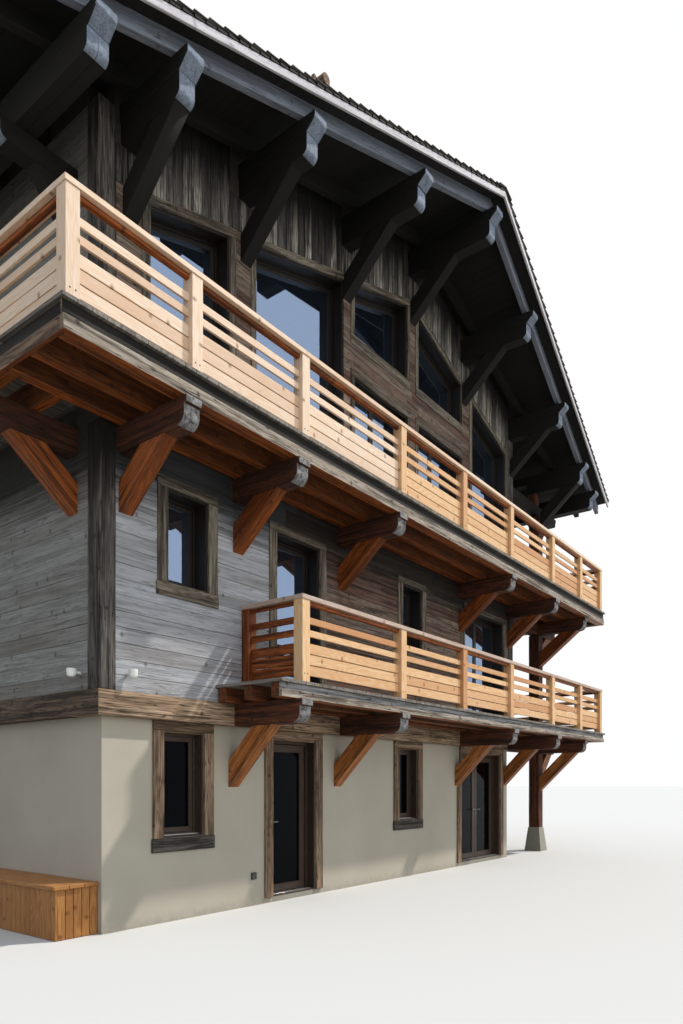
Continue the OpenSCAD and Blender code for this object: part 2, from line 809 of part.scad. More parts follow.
module lower_railing() {
    balcony_railing(lower_z, lower_x0 + lower_rail_in + post_s / 2, false);
}

module upper_railing() {
    balcony_railing(upper_z, rail_l, true);
}

module balcony_railing(z, x0, with_left) {
    color("#dcb48c") {
        translate([0, rail_y, z])
            railing_run(x0 - cap_w / 2, rail_r + cap_w / 2,
                concat([x0], [for (x = front_posts) if (x > x0 + 600) x], [rail_r]));
        y0 = rail_y + cap_w / 2 + split;
        side_railing(rail_r, y0, z);
        end_railing(post_face, rail_r - cap_w / 2 - split, z);
        if (with_left) {
            side_railing(rail_l, y0, z);
            end_railing(rail_l + cap_w / 2 + split, xlt - corner_proud, z);
        }
        else translate([x0, 0, z]) rotate(90)
            railing_run(y0, yft, [yft - post_s / 2]);
    }
}

// The rail that closes a balcony at the back of the house
module end_railing(x0, x1, z) {
    translate([0, yb - post_s / 2, z]) railing_run(x0, x1, [x0 < 0 ? x1 - post_s / 2 : x0 + post_s / 2]);
}

module side_railing(x, y0, z) {
    translate([x, 0, z]) rotate(90) railing_run(y0, yb, side_posts);
}

// Gallery posts

// Each post stops under the beams it carries. A stub on the top beam reaches its purlin, or
// at the two ends the purlin's corbel.
module gallery_posts() {
    s = gallery_post_s / 2;
    n = gallery_post_n - 1;
    color("#8a4c25") for (i = [0 : n]) {
        y = gallery_y[i];
        box([post_x - s, y - s, pier_h], [post_x + s, y + s, ring_z - beam_h]);
        box([post_x - s, y - s, lower_z], [post_x + s, y + s, upper_beam_z - beam_h]);
        box([post_x - s, y - s, upper_z], [post_x + s, y + s, console_top - console_h]);
        box([purlin_3 - beam_w / 2, y - beam_w / 2, console_top], [purlin_3 + beam_w / 2, y + beam_w / 2,
            purlin_bottom(purlin_3) - (i == 0 || i == n ? corbel_h : 0)]);
    }
}

module post_piers() {
    top_s = gallery_post_s + 20;
    color("#a8a49c") for (y = gallery_y) translate([post_x, y, 0]) rotate(45)
        cylinder(h = pier_h, d1 = pier_base * sqrt(2), d2 = top_s * sqrt(2), $fn = 4);
}

// Windows, doors and their boards

// A frame that starts at depth y, with the boards that line its reveal out to the wall's face
module frame_x(o, y, face) {
    difference() {
        across(outline(o), min(y, face), max(y + frame_d, face));
        across(outline(o, frame_w), min(y, face) - 1, max(y + frame_d, face) + 1);
        if (face < y) across(outline(o, lining_t), face - 1, y);
        else across(outline(o, lining_t), y + frame_d, face + 1);
    }
}

module frame_y(o, x, face) {
    difference() {
        along(outline(o), min(x, face), max(x + frame_d, face));
        along(outline(o, frame_w), min(x, face) - 1, max(x + frame_d, face) + 1);
        if (face < x) along(outline(o, lining_t), face - 1, x);
        else along(outline(o, lining_t), x + frame_d, face + 1);
    }
}

module window_frames() {
    d = reveal + frame_d;
    color("#3b2a20") {
        for (o = [o_ground_a, o_ground_c]) frame_x(o, yf + reveal, yf);
        for (o = concat(o_middle, o_gable)) frame_x(o, yft + timber_reveal, yft);
        for (o = o_back_ground) frame_x(o, yb - d, yb);
        for (o = o_back_timber) frame_x(o, ybt - timber_reveal - frame_d, ybt);
        for (o = o_side_ground) {
            frame_y(o, xl + reveal, xl);
            frame_y(o, xg - d, xg);
        }
        for (o = o_side_timber) {
            frame_y(o, xlt + reveal, xlt);
            frame_y(o, xgt - d, xgt);
        }
    }
}

module pane_x(o, y) {
    across(outline(o, frame_w), y, y + glass_t);
}

module pane_y(o, x) {
    along(outline(o, frame_w), x, x + glass_t);
}

module window_glass() {
    g = reveal + (frame_d - glass_t) / 2;
    gt = g + timber_reveal - reveal;
    color("#6f8aa3") {
        for (o = [o_ground_a, o_ground_c]) pane_x(o, yf + g);
        for (o = concat(o_middle, o_gable)) pane_x(o, yft + gt);
        for (o = o_back_ground) pane_x(o, yb - g - glass_t);
        for (o = o_back_timber) pane_x(o, ybt - gt - glass_t);
        for (o = o_side_ground) {
            pane_y(o, xl + g);
            pane_y(o, xg - g - glass_t);
        }
        for (o = o_side_timber) {
            pane_y(o, xlt + g);
            pane_y(o, xgt - g - glass_t);
        }
    }
}

gable_board_w = 110;
sill_past = 15;

// The boards round an opening as outlines in its plane: two jambs, a head along the slope and
// a sill board that stands past the jambs
function board_w(o) = o[2] == upper_z || o[4] != 0 ? gable_board_w : surround_w;
function jamb_board(o, left) =
    let (x0 = left ? o[0] - board_w(o) : o[1], x1 = x0 + board_w(o), k = o[4])
    [[x0, o[2]], [x1, o[2]], [x1, o[3] + k * (x1 - o[0])], [x0, o[3] + k * (x0 - o[0])]];
function head_board(o) =
    let (x0 = o[0] - board_w(o), x1 = o[1] + board_w(o), z = o[3] + split, k = o[4])
    [[x0, z + k * (x0 - o[0])], [x1, z + k * (x1 - o[0])],
        [x1, z + surround_h - split + k * (x1 - o[0])], [x0, z + surround_h - split + k * (x0 - o[0])]];
function sill_board(o) =
    let (x0 = o[0] - board_w(o) - sill_past, x1 = o[1] + board_w(o) + sill_past)
    [[x0, o[2] - sill_board_h], [x1, o[2] - sill_board_h], [x1, o[2] - split], [x0, o[2] - split]];

function board_set(o, sill) = concat([jamb_board(o, true), jamb_board(o, false), head_board(o)],
    sill ? [sill_board(o)] : []);

module boards_x(o, y, sill) {
    b = board_set(o, sill);
    for (i = [0 : len(b) - 1]) across(b[i], y - surround_t, y);
}

module boards_y(o, x) {
    b = board_set(o, true);
    for (i = [0 : len(b) - 1]) along(b[i], x - surround_t, x);
}

// Room for the feet of the struts, which the boards stop beside
module strut_room(clear) {
    w = strut_w / 2 + clear;
    for (x = corbels_x, s = [-1, 1]) box([x - w, s * (ybt + 100) - 200, upper_z],
        [x + w, s * (ybt + 100) + 200, far]);
    for (x = bracket_x) box([x - w, yf - 200, ring_z - beam_h - lower_strut_drop - clear],
        [x + w, yf + 1, ground_h]);
    for (x = bracket_x) box([x - w, yft - 200, upper_beam_z - beam_h - upper_strut_drop - clear],
        [x + w, yft + 1, upper_beam_z]);
    for (y = side_bracket_y) box([xlt - 200, y - w, upper_beam_z - beam_h - upper_strut_drop - clear],
        [xlt + 1, y + w, upper_beam_z]);
}

module opening_surrounds() {
    color("#64584d") difference() {
        union() {
            for (o = [o_ground_a, o_ground_c]) boards_x(o, yf, true);
            for (o = [o_garden, o_terrace]) boards_x(o, yf, false);
            for (i = [0 : 3]) boards_x(o_middle[i], yft, i % 2 == 0);
            for (o = concat(o_gable_tall, o_gable_door)) boards_x(o, yft, false);
            for (o = o_gable_high) boards_x(o, yft, true);
            for (o = o_back_ground) boards_x(o, yb + surround_t, true);
            for (o = o_back_timber) boards_x(o, ybt + surround_t, true);
            for (o = o_side_ground) {
                boards_y(o, xl);
                boards_y(o, xg + surround_t);
            }
            for (o = o_side_timber) {
                boards_y(o, xlt);
                boards_y(o, xgt + surround_t);
            }
        }
        strut_room(5);
    }
}

// Hinged doors. A leaf is given by its inner room: left edge, right edge, sill and head.
// They open into the room and their knuckles stand on the room side of the frame.
sill_h = 20;
door_y = yf + reveal;
door_back = door_y + frame_d;
knuckle_h = 60;
knuckle_at = [0.1, 0.48, 0.86];
strap_w = 32;
strap_t = 4;
handle_z = 1000;

function clear_of(o) = [o[0] + frame_w, o[1] - frame_w, o[2] + sill_h, o[3] - frame_w, 0];
garden_clear = clear_of(o_garden);
terrace_clear = clear_of(o_terrace);
garden_leaf = outline_of(garden_clear, leaf_gap);
terrace_left = [terrace_clear[0] + leaf_gap, terrace_door_x - leaf_gap / 2,
    terrace_clear[2] + leaf_gap, terrace_clear[3] - leaf_gap, 0];
terrace_right = [terrace_door_x + leaf_gap / 2, terrace_clear[1] - leaf_gap,
    terrace_clear[2] + leaf_gap, terrace_clear[3] - leaf_gap, 0];
function outline_of(c, f) = [c[0] + f, c[1] - f, c[2] + f, c[3] - f, 0];
pin_y = door_back + knuckle_r;
function knuckle_z(l, i) = l[2] + (l[3] - l[2]) * knuckle_at[i];

// Half a hinge at x: the knuckle and its strap, which goes to the side given by s
module half_hinge(x, z, s) {
    translate([x, pin_y, z]) cylinder(r = knuckle_r, h = knuckle_h, $fn = 32);
    box([min(x, x + s * strap_w), door_back - 1, z],
        [max(x, x + s * strap_w), door_back + strap_t, z + knuckle_h]);
}

module door_frame(o, l, pins) {
    c = clear_of(o);
    difference() {
        across(outline(o), door_y, door_back);
        across(outline(c), door_y - 1, door_back + 1);
    }
    for (x = pins, i = [0 : 2]) half_hinge(x, knuckle_z(l, i), x > (c[0] + c[1]) / 2 ? 1 : -1);
}

module leaf(l, pin, handle_x) {
    s = pin > (l[0] + l[1]) / 2 ? -1 : 1;
    difference() {
        across(outline(l), door_back - leaf_t, door_back);
        across(outline(l, leaf_rim), door_y - 1, door_back + 1);
    }
    for (i = [0 : 2]) half_hinge(pin, knuckle_z(l, i) + knuckle_h + seat, s);
    for (d = [-1, 1]) door_handle(handle_x, d, -s);
}

handle_l = 120;
handle_r = 9;

// A lever handle on its rose, outside for d = -1 and inside for d = 1
module door_handle(x, d, s) {
    face = d > 0 ? door_back : door_back - leaf_t;
    z = floor_h + handle_z;
    translate([x, face, z]) rotate([-90 * d, 0, 0]) {
        translate([0, 0, -1]) cylinder(r = 24, h = 9, $fn = 32);
        cylinder(r = handle_r, h = 48, $fn = 24);
    }
    translate([x - s * handle_r, face + d * 42, z]) rotate([0, 90 * s, 0])
        cylinder(r = handle_r, h = handle_l, $fn = 24);
}

module leaf_pane(l) {
    m = door_back - leaf_t / 2;
    across(outline(l, leaf_rim), m - glass_t / 2, m + glass_t / 2);
}

garden_pin = garden_clear[1] - leaf_gap / 2;
terrace_left_pin = terrace_clear[0] + leaf_gap / 2;
terrace_right_pin = terrace_clear[1] - leaf_gap / 2;

module door_frames() {
    color("#3b2a20") {
        door_frame(o_garden, garden_leaf, [garden_pin]);
        door_frame(o_terrace, terrace_left, [terrace_left_pin, terrace_right_pin]);
    }
}

module garden_door_leaf() {
    color("#3b2a20") leaf(garden_leaf, garden_pin, garden_leaf[0] + leaf_rim / 2);
}

module garden_door_glass() {
    color("#6f8aa3") leaf_pane(garden_leaf);
}

module terrace_leaf_left() {
    color("#3b2a20") leaf(terrace_left, terrace_left_pin, terrace_left[1] - leaf_rim / 2);
}

module terrace_glass_left() {
    color("#6f8aa3") leaf_pane(terrace_left);
}

module terrace_leaf_right() {
    color("#3b2a20") leaf(terrace_right, terrace_right_pin, terrace_right[0] + leaf_rim / 2);
}

module terrace_glass_right() {
    color("#6f8aa3") leaf_pane(terrace_right);
}

// Small pieces

bench_h = 560;
bench_d = 500;
bench_l = 2400;

module bench() {
    color("#b98c5a") {
        box([xl - bench_d, yf + 60, 0], [xl, yf + 60 + bench_l, bench_h - 40]);
        box([xl - bench_d - 30, yf + 30, bench_h - 40], [xl, yf + 90 + bench_l, bench_h]);
    }
}

lamp_w = 90;

// A spot lamp on its arm, pointing to -Y from a wall at y = 0
module spot_lamp() {
    along([[-60, 40], [-175, 52], [-165, -30], [-85, -45]], -lamp_w / 2, lamp_w / 2);
    translate([0, 0, 10]) rotate([90, 0, 0]) cylinder(r = 16, h = 68, $fn = 24);
    translate([0, 0, 10]) rotate([90, 0, 0]) cylinder(r = 32, h = 12, $fn = 32);
}

module wall_lamps() {
    z = ring_z + 180;
    color("white") {
        translate([xlt, yft + 330, z]) rotate(-90) spot_lamp();
        translate([xlt + 330, yft, z]) spot_lamp();
    }
}

module wall_socket() {
    x = o_garden[0] - 400;
    color("#2a2a2c") box([x, yf - 30, 345], [x + 80, yf, 435]);
}

ground_front_wall_left();
ground_front_wall_middle();
ground_front_wall_right();
door_lintels();
ground_side_walls();
ground_back_wall();
ground_floor();
log_ring();
first_floor();
second_floor();
middle_front_wall();
gable_front_wall();
timber_side_walls();
back_timber_wall();
corner_posts();
roof_left();
roof_right();
rafters();
purlins();
purlin_brackets();
eaves_consoles();
verge_boards();
snow_guards();
lower_brackets();
lower_railing();
upper_brackets();
upper_railing();
balcony_joists();
balcony_fascias();
balcony_decks();
gallery_posts();
post_piers();
window_frames();
window_glass();
opening_surrounds();
door_frames();
garden_door_leaf();
garden_door_glass();
terrace_leaf_left();
terrace_glass_left();
terrace_leaf_right();
terrace_glass_right();
bench();
wall_lamps();
wall_socket();
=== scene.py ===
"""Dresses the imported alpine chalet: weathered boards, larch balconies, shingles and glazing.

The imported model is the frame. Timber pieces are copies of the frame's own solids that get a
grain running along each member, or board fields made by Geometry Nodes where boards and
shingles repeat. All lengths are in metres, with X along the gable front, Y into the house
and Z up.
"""
from __future__ import annotations

import json
import logging
import math
import random
from dataclasses import dataclass, field, replace
from enum import Enum
from functools import partial
from typing import Callable, Iterable, Sequence

import bmesh
import bpy
from bmesh.types import BMEdge, BMFace, BMesh
from bpy.types import Material, Mesh, Node, NodeSocket, NodeTree, Object
from mathutils import Matrix, Vector, noise

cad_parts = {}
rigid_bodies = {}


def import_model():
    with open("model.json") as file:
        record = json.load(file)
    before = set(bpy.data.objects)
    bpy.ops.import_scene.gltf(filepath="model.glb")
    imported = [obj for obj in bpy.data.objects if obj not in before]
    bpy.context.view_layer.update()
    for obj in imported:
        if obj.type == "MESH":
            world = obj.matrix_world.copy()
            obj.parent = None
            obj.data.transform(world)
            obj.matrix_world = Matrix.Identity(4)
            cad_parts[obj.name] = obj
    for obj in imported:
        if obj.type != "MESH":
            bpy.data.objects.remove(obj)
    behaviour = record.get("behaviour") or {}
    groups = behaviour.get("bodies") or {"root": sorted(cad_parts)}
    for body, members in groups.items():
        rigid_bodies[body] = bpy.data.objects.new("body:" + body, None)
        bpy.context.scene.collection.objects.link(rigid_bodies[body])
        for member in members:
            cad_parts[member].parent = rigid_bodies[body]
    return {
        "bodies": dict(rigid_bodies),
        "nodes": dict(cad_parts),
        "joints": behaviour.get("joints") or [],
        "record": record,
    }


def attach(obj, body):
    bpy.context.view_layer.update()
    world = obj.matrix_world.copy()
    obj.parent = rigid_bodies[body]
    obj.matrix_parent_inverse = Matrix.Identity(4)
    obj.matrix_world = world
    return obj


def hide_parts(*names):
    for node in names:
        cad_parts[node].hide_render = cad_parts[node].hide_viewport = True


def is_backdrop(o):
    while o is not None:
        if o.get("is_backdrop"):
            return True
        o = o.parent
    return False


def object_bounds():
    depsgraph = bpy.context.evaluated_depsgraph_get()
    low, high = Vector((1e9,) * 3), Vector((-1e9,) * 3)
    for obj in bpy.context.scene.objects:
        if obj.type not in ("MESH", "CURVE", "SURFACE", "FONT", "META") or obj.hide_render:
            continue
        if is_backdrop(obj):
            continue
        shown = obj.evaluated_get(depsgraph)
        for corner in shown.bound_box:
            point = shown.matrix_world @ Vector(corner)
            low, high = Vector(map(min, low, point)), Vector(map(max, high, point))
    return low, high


LOG = logging.getLogger("chalet")
Point = tuple[float, float]
# What every member carries: places along its grain, and its shade
GRAIN = "grain"
TONE = "tone"
QUARTER = math.radians(90)
AXES = {"X": Vector((1, 0, 0)), "Y": Vector((0, 1, 0)), "Z": Vector((0, 0, 1))}


def linear(code: str) -> tuple[float, float, float, float]:
    """Turn an sRGB hex value into a linear colour.

    Args:
        code: The colour as "#rrggbb".

    Returns:
        Red, green, blue and an alpha of 1.
    """
    parts = [int(code[i:i + 2], 16) / 255 for i in (1, 3, 5)]
    return (*(p / 12.92 if p <= 0.04045 else ((p + 0.055) / 1.055) ** 2.4 for p in parts), 1.0)


def add_node(tree: NodeTree, kind: str, inputs: dict | None = None, **settings) -> Node:
    """Add a node with its settings, values and links.

    Args:
        tree: The tree that gets the node.
        kind: The node's type name.
        inputs: Socket name or number to a value, or to what is linked to it: an output socket,
            or a node, which gives its first output in use.
        settings: Properties of the node itself.

    Returns:
        The new node.
    """
    node = tree.nodes.new(kind)
    for key, value in settings.items():
        setattr(node, key, value)
    for key, value in (inputs or {}).items():
        socket = node.inputs[key]
        if isinstance(value, Node):
            value = next(out for out in value.outputs if out.enabled)
        if isinstance(value, NodeSocket):
            tree.links.new(value, socket)
        else:
            socket.default_value = value
    return node


def new_material(name: str) -> tuple[Material, Callable[..., Node]]:
    """Return a new material, and the call that adds a node to its emptied tree."""
    mat = bpy.data.materials.new(name)
    mat.use_nodes = True
    mat.node_tree.nodes.clear()
    return mat, partial(add_node, mat.node_tree)


class GrainSource(Enum):
    """Where a wood reads the direction of its grain."""

    MEMBER = "member"
    OBJECT = "object"


@dataclass(frozen=True)
class WoodFinish:
    """Sawn or weathered softwood with rings, fibres, knots and drying cracks."""

    name: str
    light: str
    dark: str
    deep: str
    grey: str
    weather: float = 0.05
    spread: float = 0.4
    ring_mm: float = 9
    fibre_mm: float = 3.0
    crack: float = 0.9
    knot: float = 0.8
    knot_hex: str = "#3a2415"
    bump_mm: float = 1.2
    roughness: float = 0.84
    streak: float = 0.0
    dirt: str = "#14100d"
    sort: tuple[float, float] = (0.0, 1.0)
    fibre_run: float = 3.2
    # Painted shade: its strength, the band of height where it sets in, the band's rise away from
    # the middle, and the height above which there is none
    lee: float = 0.0
    shade_from: tuple[float, float] = (9.9, 10.7)
    shade_slope: float = 0.317
    shade_top: float = 99.0
    source: GrainSource = GrainSource.MEMBER

    def material(self) -> Material:
        """Build the wood's node material.

        Returns:
            The material, which reads the grain and tone that each member carries.
        """
        mat, add = new_material(self.name)
        place = add("ShaderNodeTexCoord").outputs["Object"]
        if self.source is GrainSource.MEMBER:
            grain = add("ShaderNodeAttribute", attribute_name=GRAIN).outputs["Vector"]
            tone = add("ShaderNodeAttribute", attribute_name=TONE).outputs["Fac"]
        else:
            grain = place
            tone = add("ShaderNodeTexNoise", {"Vector": place, "Scale": 0.8})
        # Noise drawn out along the grain: fibres some 300 mm long, growth, dirt bands some 40 mm
        # wide, and drying cracks
        across = 1000.0 / self.fibre_mm
        drawn = []
        for scale, detail, rough in (((self.fibre_run, across, across), 3.0, 0.6),
                                     ((0.9, 8.0, 8.0), 1.5, 0.45), ((0.7, 17.0, 17.0), 4.0, 0.7),
                                     ((1.1, 38.0, 38.0), 1.0, 0.5)):
            long = add("ShaderNodeMapping", {"Vector": grain, "Scale": scale})
            drawn.append(add("ShaderNodeTexNoise", {
                "Vector": long, "Scale": 1.0, "Detail": detail, "Roughness": rough}))
        fine, figure, run, lines = drawn
        fibre = add("ShaderNodeMapRange", {"Value": fine, "From Min": 0.33, "From Max": 0.67})
        # Growth rings are contour lines
        turns = add("ShaderNodeMath", {0: figure, 1: 750.0 / self.ring_mm}, operation="MULTIPLY")
        wave = add("ShaderNodeMath", {0: turns}, operation="SINE")
        ring = add("ShaderNodeMapRange", {"Value": wave, "From Min": -1.0, "From Max": 1.0})
        blend = add("ShaderNodeMath", {0: ring, 1: 0.45, 2: 0.0}, operation="MULTIPLY_ADD")
        both = add("ShaderNodeMath", {0: fibre, 1: 0.75, 2: blend}, operation="MULTIPLY_ADD")
        # A few members are much darker than the rest
        low, high = self.sort
        ranked = add("ShaderNodeMapRange", {"Value": tone, "From Min": low, "From Max": high})
        few = add("ShaderNodeMath", {0: ranked, 1: 1.6}, operation="POWER")
        shade = add("ShaderNodeMath", {0: few, 1: self.spread}, operation="MULTIPLY")
        # Silvering by rain and sun, in patches about a metre long
        patch = add("ShaderNodeTexNoise", {
            "Vector": place, "Scale": 1.3, "Detail": 4.0, "Roughness": 0.65})
        silver = add("ShaderNodeMapRange", {
            "Value": patch, "From Min": 0.35, "From Max": 0.68, "To Min": self.weather * 0.55,
            "To Max": min(1.0, self.weather * 1.25)})
        streak = add("ShaderNodeMix", {
            "Factor": fibre, 6: linear(self.grey), 7: linear(self.dark)}, data_type="RGBA")
        soil = add("ShaderNodeMapRange", {
            "Value": run, "From Min": 0.45, "From Max": 0.6, "To Max": self.streak})
        # Painted shade: boards close under the roof or a balcony are darkened to near black, as if
        # in their shade
        spot = add("ShaderNodeSeparateXYZ", {0: place})
        wide = add("ShaderNodeMath", {0: spot}, operation="ABSOLUTE")
        rise = add("ShaderNodeMath", {0: wide, 1: self.shade_slope, 2: spot.outputs[2]},
                   operation="MULTIPLY_ADD")
        ragged = add("ShaderNodeMath", {0: run, 1: 0.6, 2: rise}, operation="MULTIPLY_ADD")
        dark = add("ShaderNodeMapRange", {
            "Value": ragged, "From Min": self.shade_from[0], "From Max": self.shade_from[1],
            "To Max": self.lee})
        below = add("ShaderNodeMath", {0: spot.outputs[2], 1: self.shade_top}, operation="LESS_THAN")
        dark = add("ShaderNodeMath", {0: dark, 1: below}, operation="MULTIPLY")
        # Knots a few centimetres across, and cracks along the fibres
        split = add("ShaderNodeSeparateXYZ", {0: grain})
        side = add("ShaderNodeMath", {0: split.outputs[2], 1: 0.73, 2: split.outputs[1]},
                   operation="MULTIPLY_ADD")
        flat = add("ShaderNodeCombineXYZ", {0: split, 1: side})
        cell = add("ShaderNodeTexVoronoi", {"Vector": flat, "Scale": 2.3}, voronoi_dimensions="2D")
        knot = add("ShaderNodeMapRange", {"Value": cell, "From Min": 0.02, "From Max": 0.07,
            "To Min": 0.85 * self.knot, "To Max": 0.0})
        off = add("ShaderNodeMath", {0: lines, 1: 0.5}, operation="SUBTRACT")
        near = add("ShaderNodeMath", {0: off}, operation="ABSOLUTE")
        crack = add("ShaderNodeMapRange", {"Value": near, "From Min": 0.005, "From Max": 0.018,
            "To Min": self.crack, "To Max": 0.0})
        # Each layer lies over those before it; the near-black layer after the dirt is the painted
        # shade under roofs and balconies
        colour = linear(self.light)
        for factor, over in ((both, linear(self.dark)), (shade, linear(self.deep)),
                (silver, streak), (soil, linear(self.dirt)), (dark, linear("#0c0a09")),
                (knot, linear(self.knot_hex)), (crack, linear("#120c08"))):
            colour = add("ShaderNodeMix", {"Factor": factor, 6: colour, 7: over}, data_type="RGBA")
        low = add("ShaderNodeMath", {0: crack, 1: -1.6, 2: fibre}, operation="MULTIPLY_ADD")
        relief = add("ShaderNodeMath", {0: ring, 1: 0.35, 2: low}, operation="MULTIPLY_ADD")
        bump = add("ShaderNodeBump", {
            "Height": relief, "Strength": 0.6, "Distance": self.bump_mm / 1000})
        shader = add("ShaderNodeBsdfPrincipled", {"Base Color": colour, "Roughness": self.roughness,
            "Normal": bump, "Specular IOR Level": 0.3})
        add("ShaderNodeOutputMaterial", {"Surface": shader})
        return mat


@dataclass(frozen=True)
class MineralFinish:
    """Render or concrete: trowelled sand and lime with a fine grit and soft stains."""

    name: str
    light: str
    dark: str
    stain: str
    grit_mm: float = 2.5
    trowel_mm: float = 90.0
    bump_mm: float = 1.0
    damp_top: float = 0.0

    def material(self) -> Material:
        """Build the mineral surface's node material.

        Returns:
            The material, in object coordinates.
        """
        mat, add = new_material(self.name)
        place = add("ShaderNodeTexCoord").outputs["Object"]
        grit = add("ShaderNodeTexNoise", {
            "Vector": place, "Scale": 1000 / self.grit_mm / 4, "Detail": 3.0, "Roughness": 0.7})
        trowel = add("ShaderNodeTexNoise", {
            "Vector": place, "Scale": 1000 / self.trowel_mm, "Detail": 3.0})
        cloud = add("ShaderNodeTexNoise", {
            "Vector": place, "Scale": 0.7, "Detail": 5.0, "Roughness": 0.6})
        spread = add("ShaderNodeMapRange", {"Value": cloud, "From Min": 0.35, "From Max": 0.7})
        height = add("ShaderNodeSeparateXYZ", {0: place}).outputs[2]
        wavy = add("ShaderNodeMath", {0: trowel, 1: 0.25, 2: height}, operation="MULTIPLY_ADD")
        damp = add("ShaderNodeMapRange", {
            "Value": wavy, "From Min": 0.08, "From Max": 0.12 + self.damp_top, "To Min": 0.6,
            "To Max": 0.0})
        speck = add("ShaderNodeMapRange", {
            "Value": grit, "From Min": 0.3, "From Max": 0.75, "To Min": 0.0, "To Max": 0.22})
        colour = linear(self.light)
        for factor, over in ((spread, self.dark), (damp, self.stain), (speck, self.stain)):
            colour = add("ShaderNodeMix", {"Factor": factor, 6: colour, 7: linear(over)},
                         data_type="RGBA")
        relief = add("ShaderNodeMath", {0: trowel, 1: 1.8, 2: grit}, operation="MULTIPLY_ADD")
        bump = add("ShaderNodeBump", {
            "Height": relief, "Strength": 0.5, "Distance": self.bump_mm / 1000})
        shader = add("ShaderNodeBsdfPrincipled", {
            "Base Color": colour, "Roughness": 0.9, "Normal": bump,
            "Specular IOR Level": 0.25})
        add("ShaderNodeOutputMaterial", {"Surface": shader})
        return mat


@dataclass(frozen=True)
class GlassFinish:
    """Double glazing in front of dark rooms."""

    name: str
    tint: str
    mirror: str
    index: float

    def material(self) -> Material:
        """Build the glazing: tinted clear glass, each pane a little out of flat.

        Returns:
            The material, in object coordinates.
        """
        mat, add = new_material(self.name)
        place = add("ShaderNodeTexCoord").outputs["Object"]
        roll = add("ShaderNodeTexNoise", {"Vector": place, "Scale": 0.9, "Detail": 0.0})
        bump = add("ShaderNodeBump", {"Height": roll, "Strength": 0.1, "Distance": 0.004})
        shader = add("ShaderNodeBsdfPrincipled", {
            "Base Color": linear(self.tint), "Roughness": 0.0, "IOR": self.index,
            "Transmission Weight": 0.95, "Specular Tint": linear(self.mirror), "Normal": bump})
        add("ShaderNodeOutputMaterial", {"Surface": shader})
        return mat


@dataclass(frozen=True)
class CoatedFinish:
    """Powder coat, moulded plastic or satin steel: even colour with a fine orange peel."""

    name: str
    colour: str
    roughness: float = 0.4
    metallic: float = 0.0
    peel_mm: float = 0.8

    def material(self) -> Material:
        """Build the coat's node material.

        Returns:
            The material.
        """
        mat, add = new_material(self.name)
        place = add("ShaderNodeTexCoord").outputs["Object"]
        peel = add("ShaderNodeTexNoise", {
            "Vector": place, "Scale": 1000 / self.peel_mm / 4, "Detail": 2.0})
        dust = add("ShaderNodeTexNoise", {"Vector": place, "Scale": 9.0, "Detail": 4.0})
        worn = add("ShaderNodeMapRange", {
            "Value": dust, "From Min": 0.4, "From Max": 0.8, "To Min": 0.0, "To Max": 0.3})
        base = add("ShaderNodeMix", {
            "Factor": worn, 6: linear(self.colour), 7: linear("#6b665f")}, data_type="RGBA")
        bump = add("ShaderNodeBump", {"Height": peel, "Strength": 0.2, "Distance": 0.0002})
        shader = add("ShaderNodeBsdfPrincipled", {
            "Base Color": base, "Roughness": self.roughness, "Metallic": self.metallic,
            "Normal": bump})
        add("ShaderNodeOutputMaterial", {"Surface": shader})
        return mat


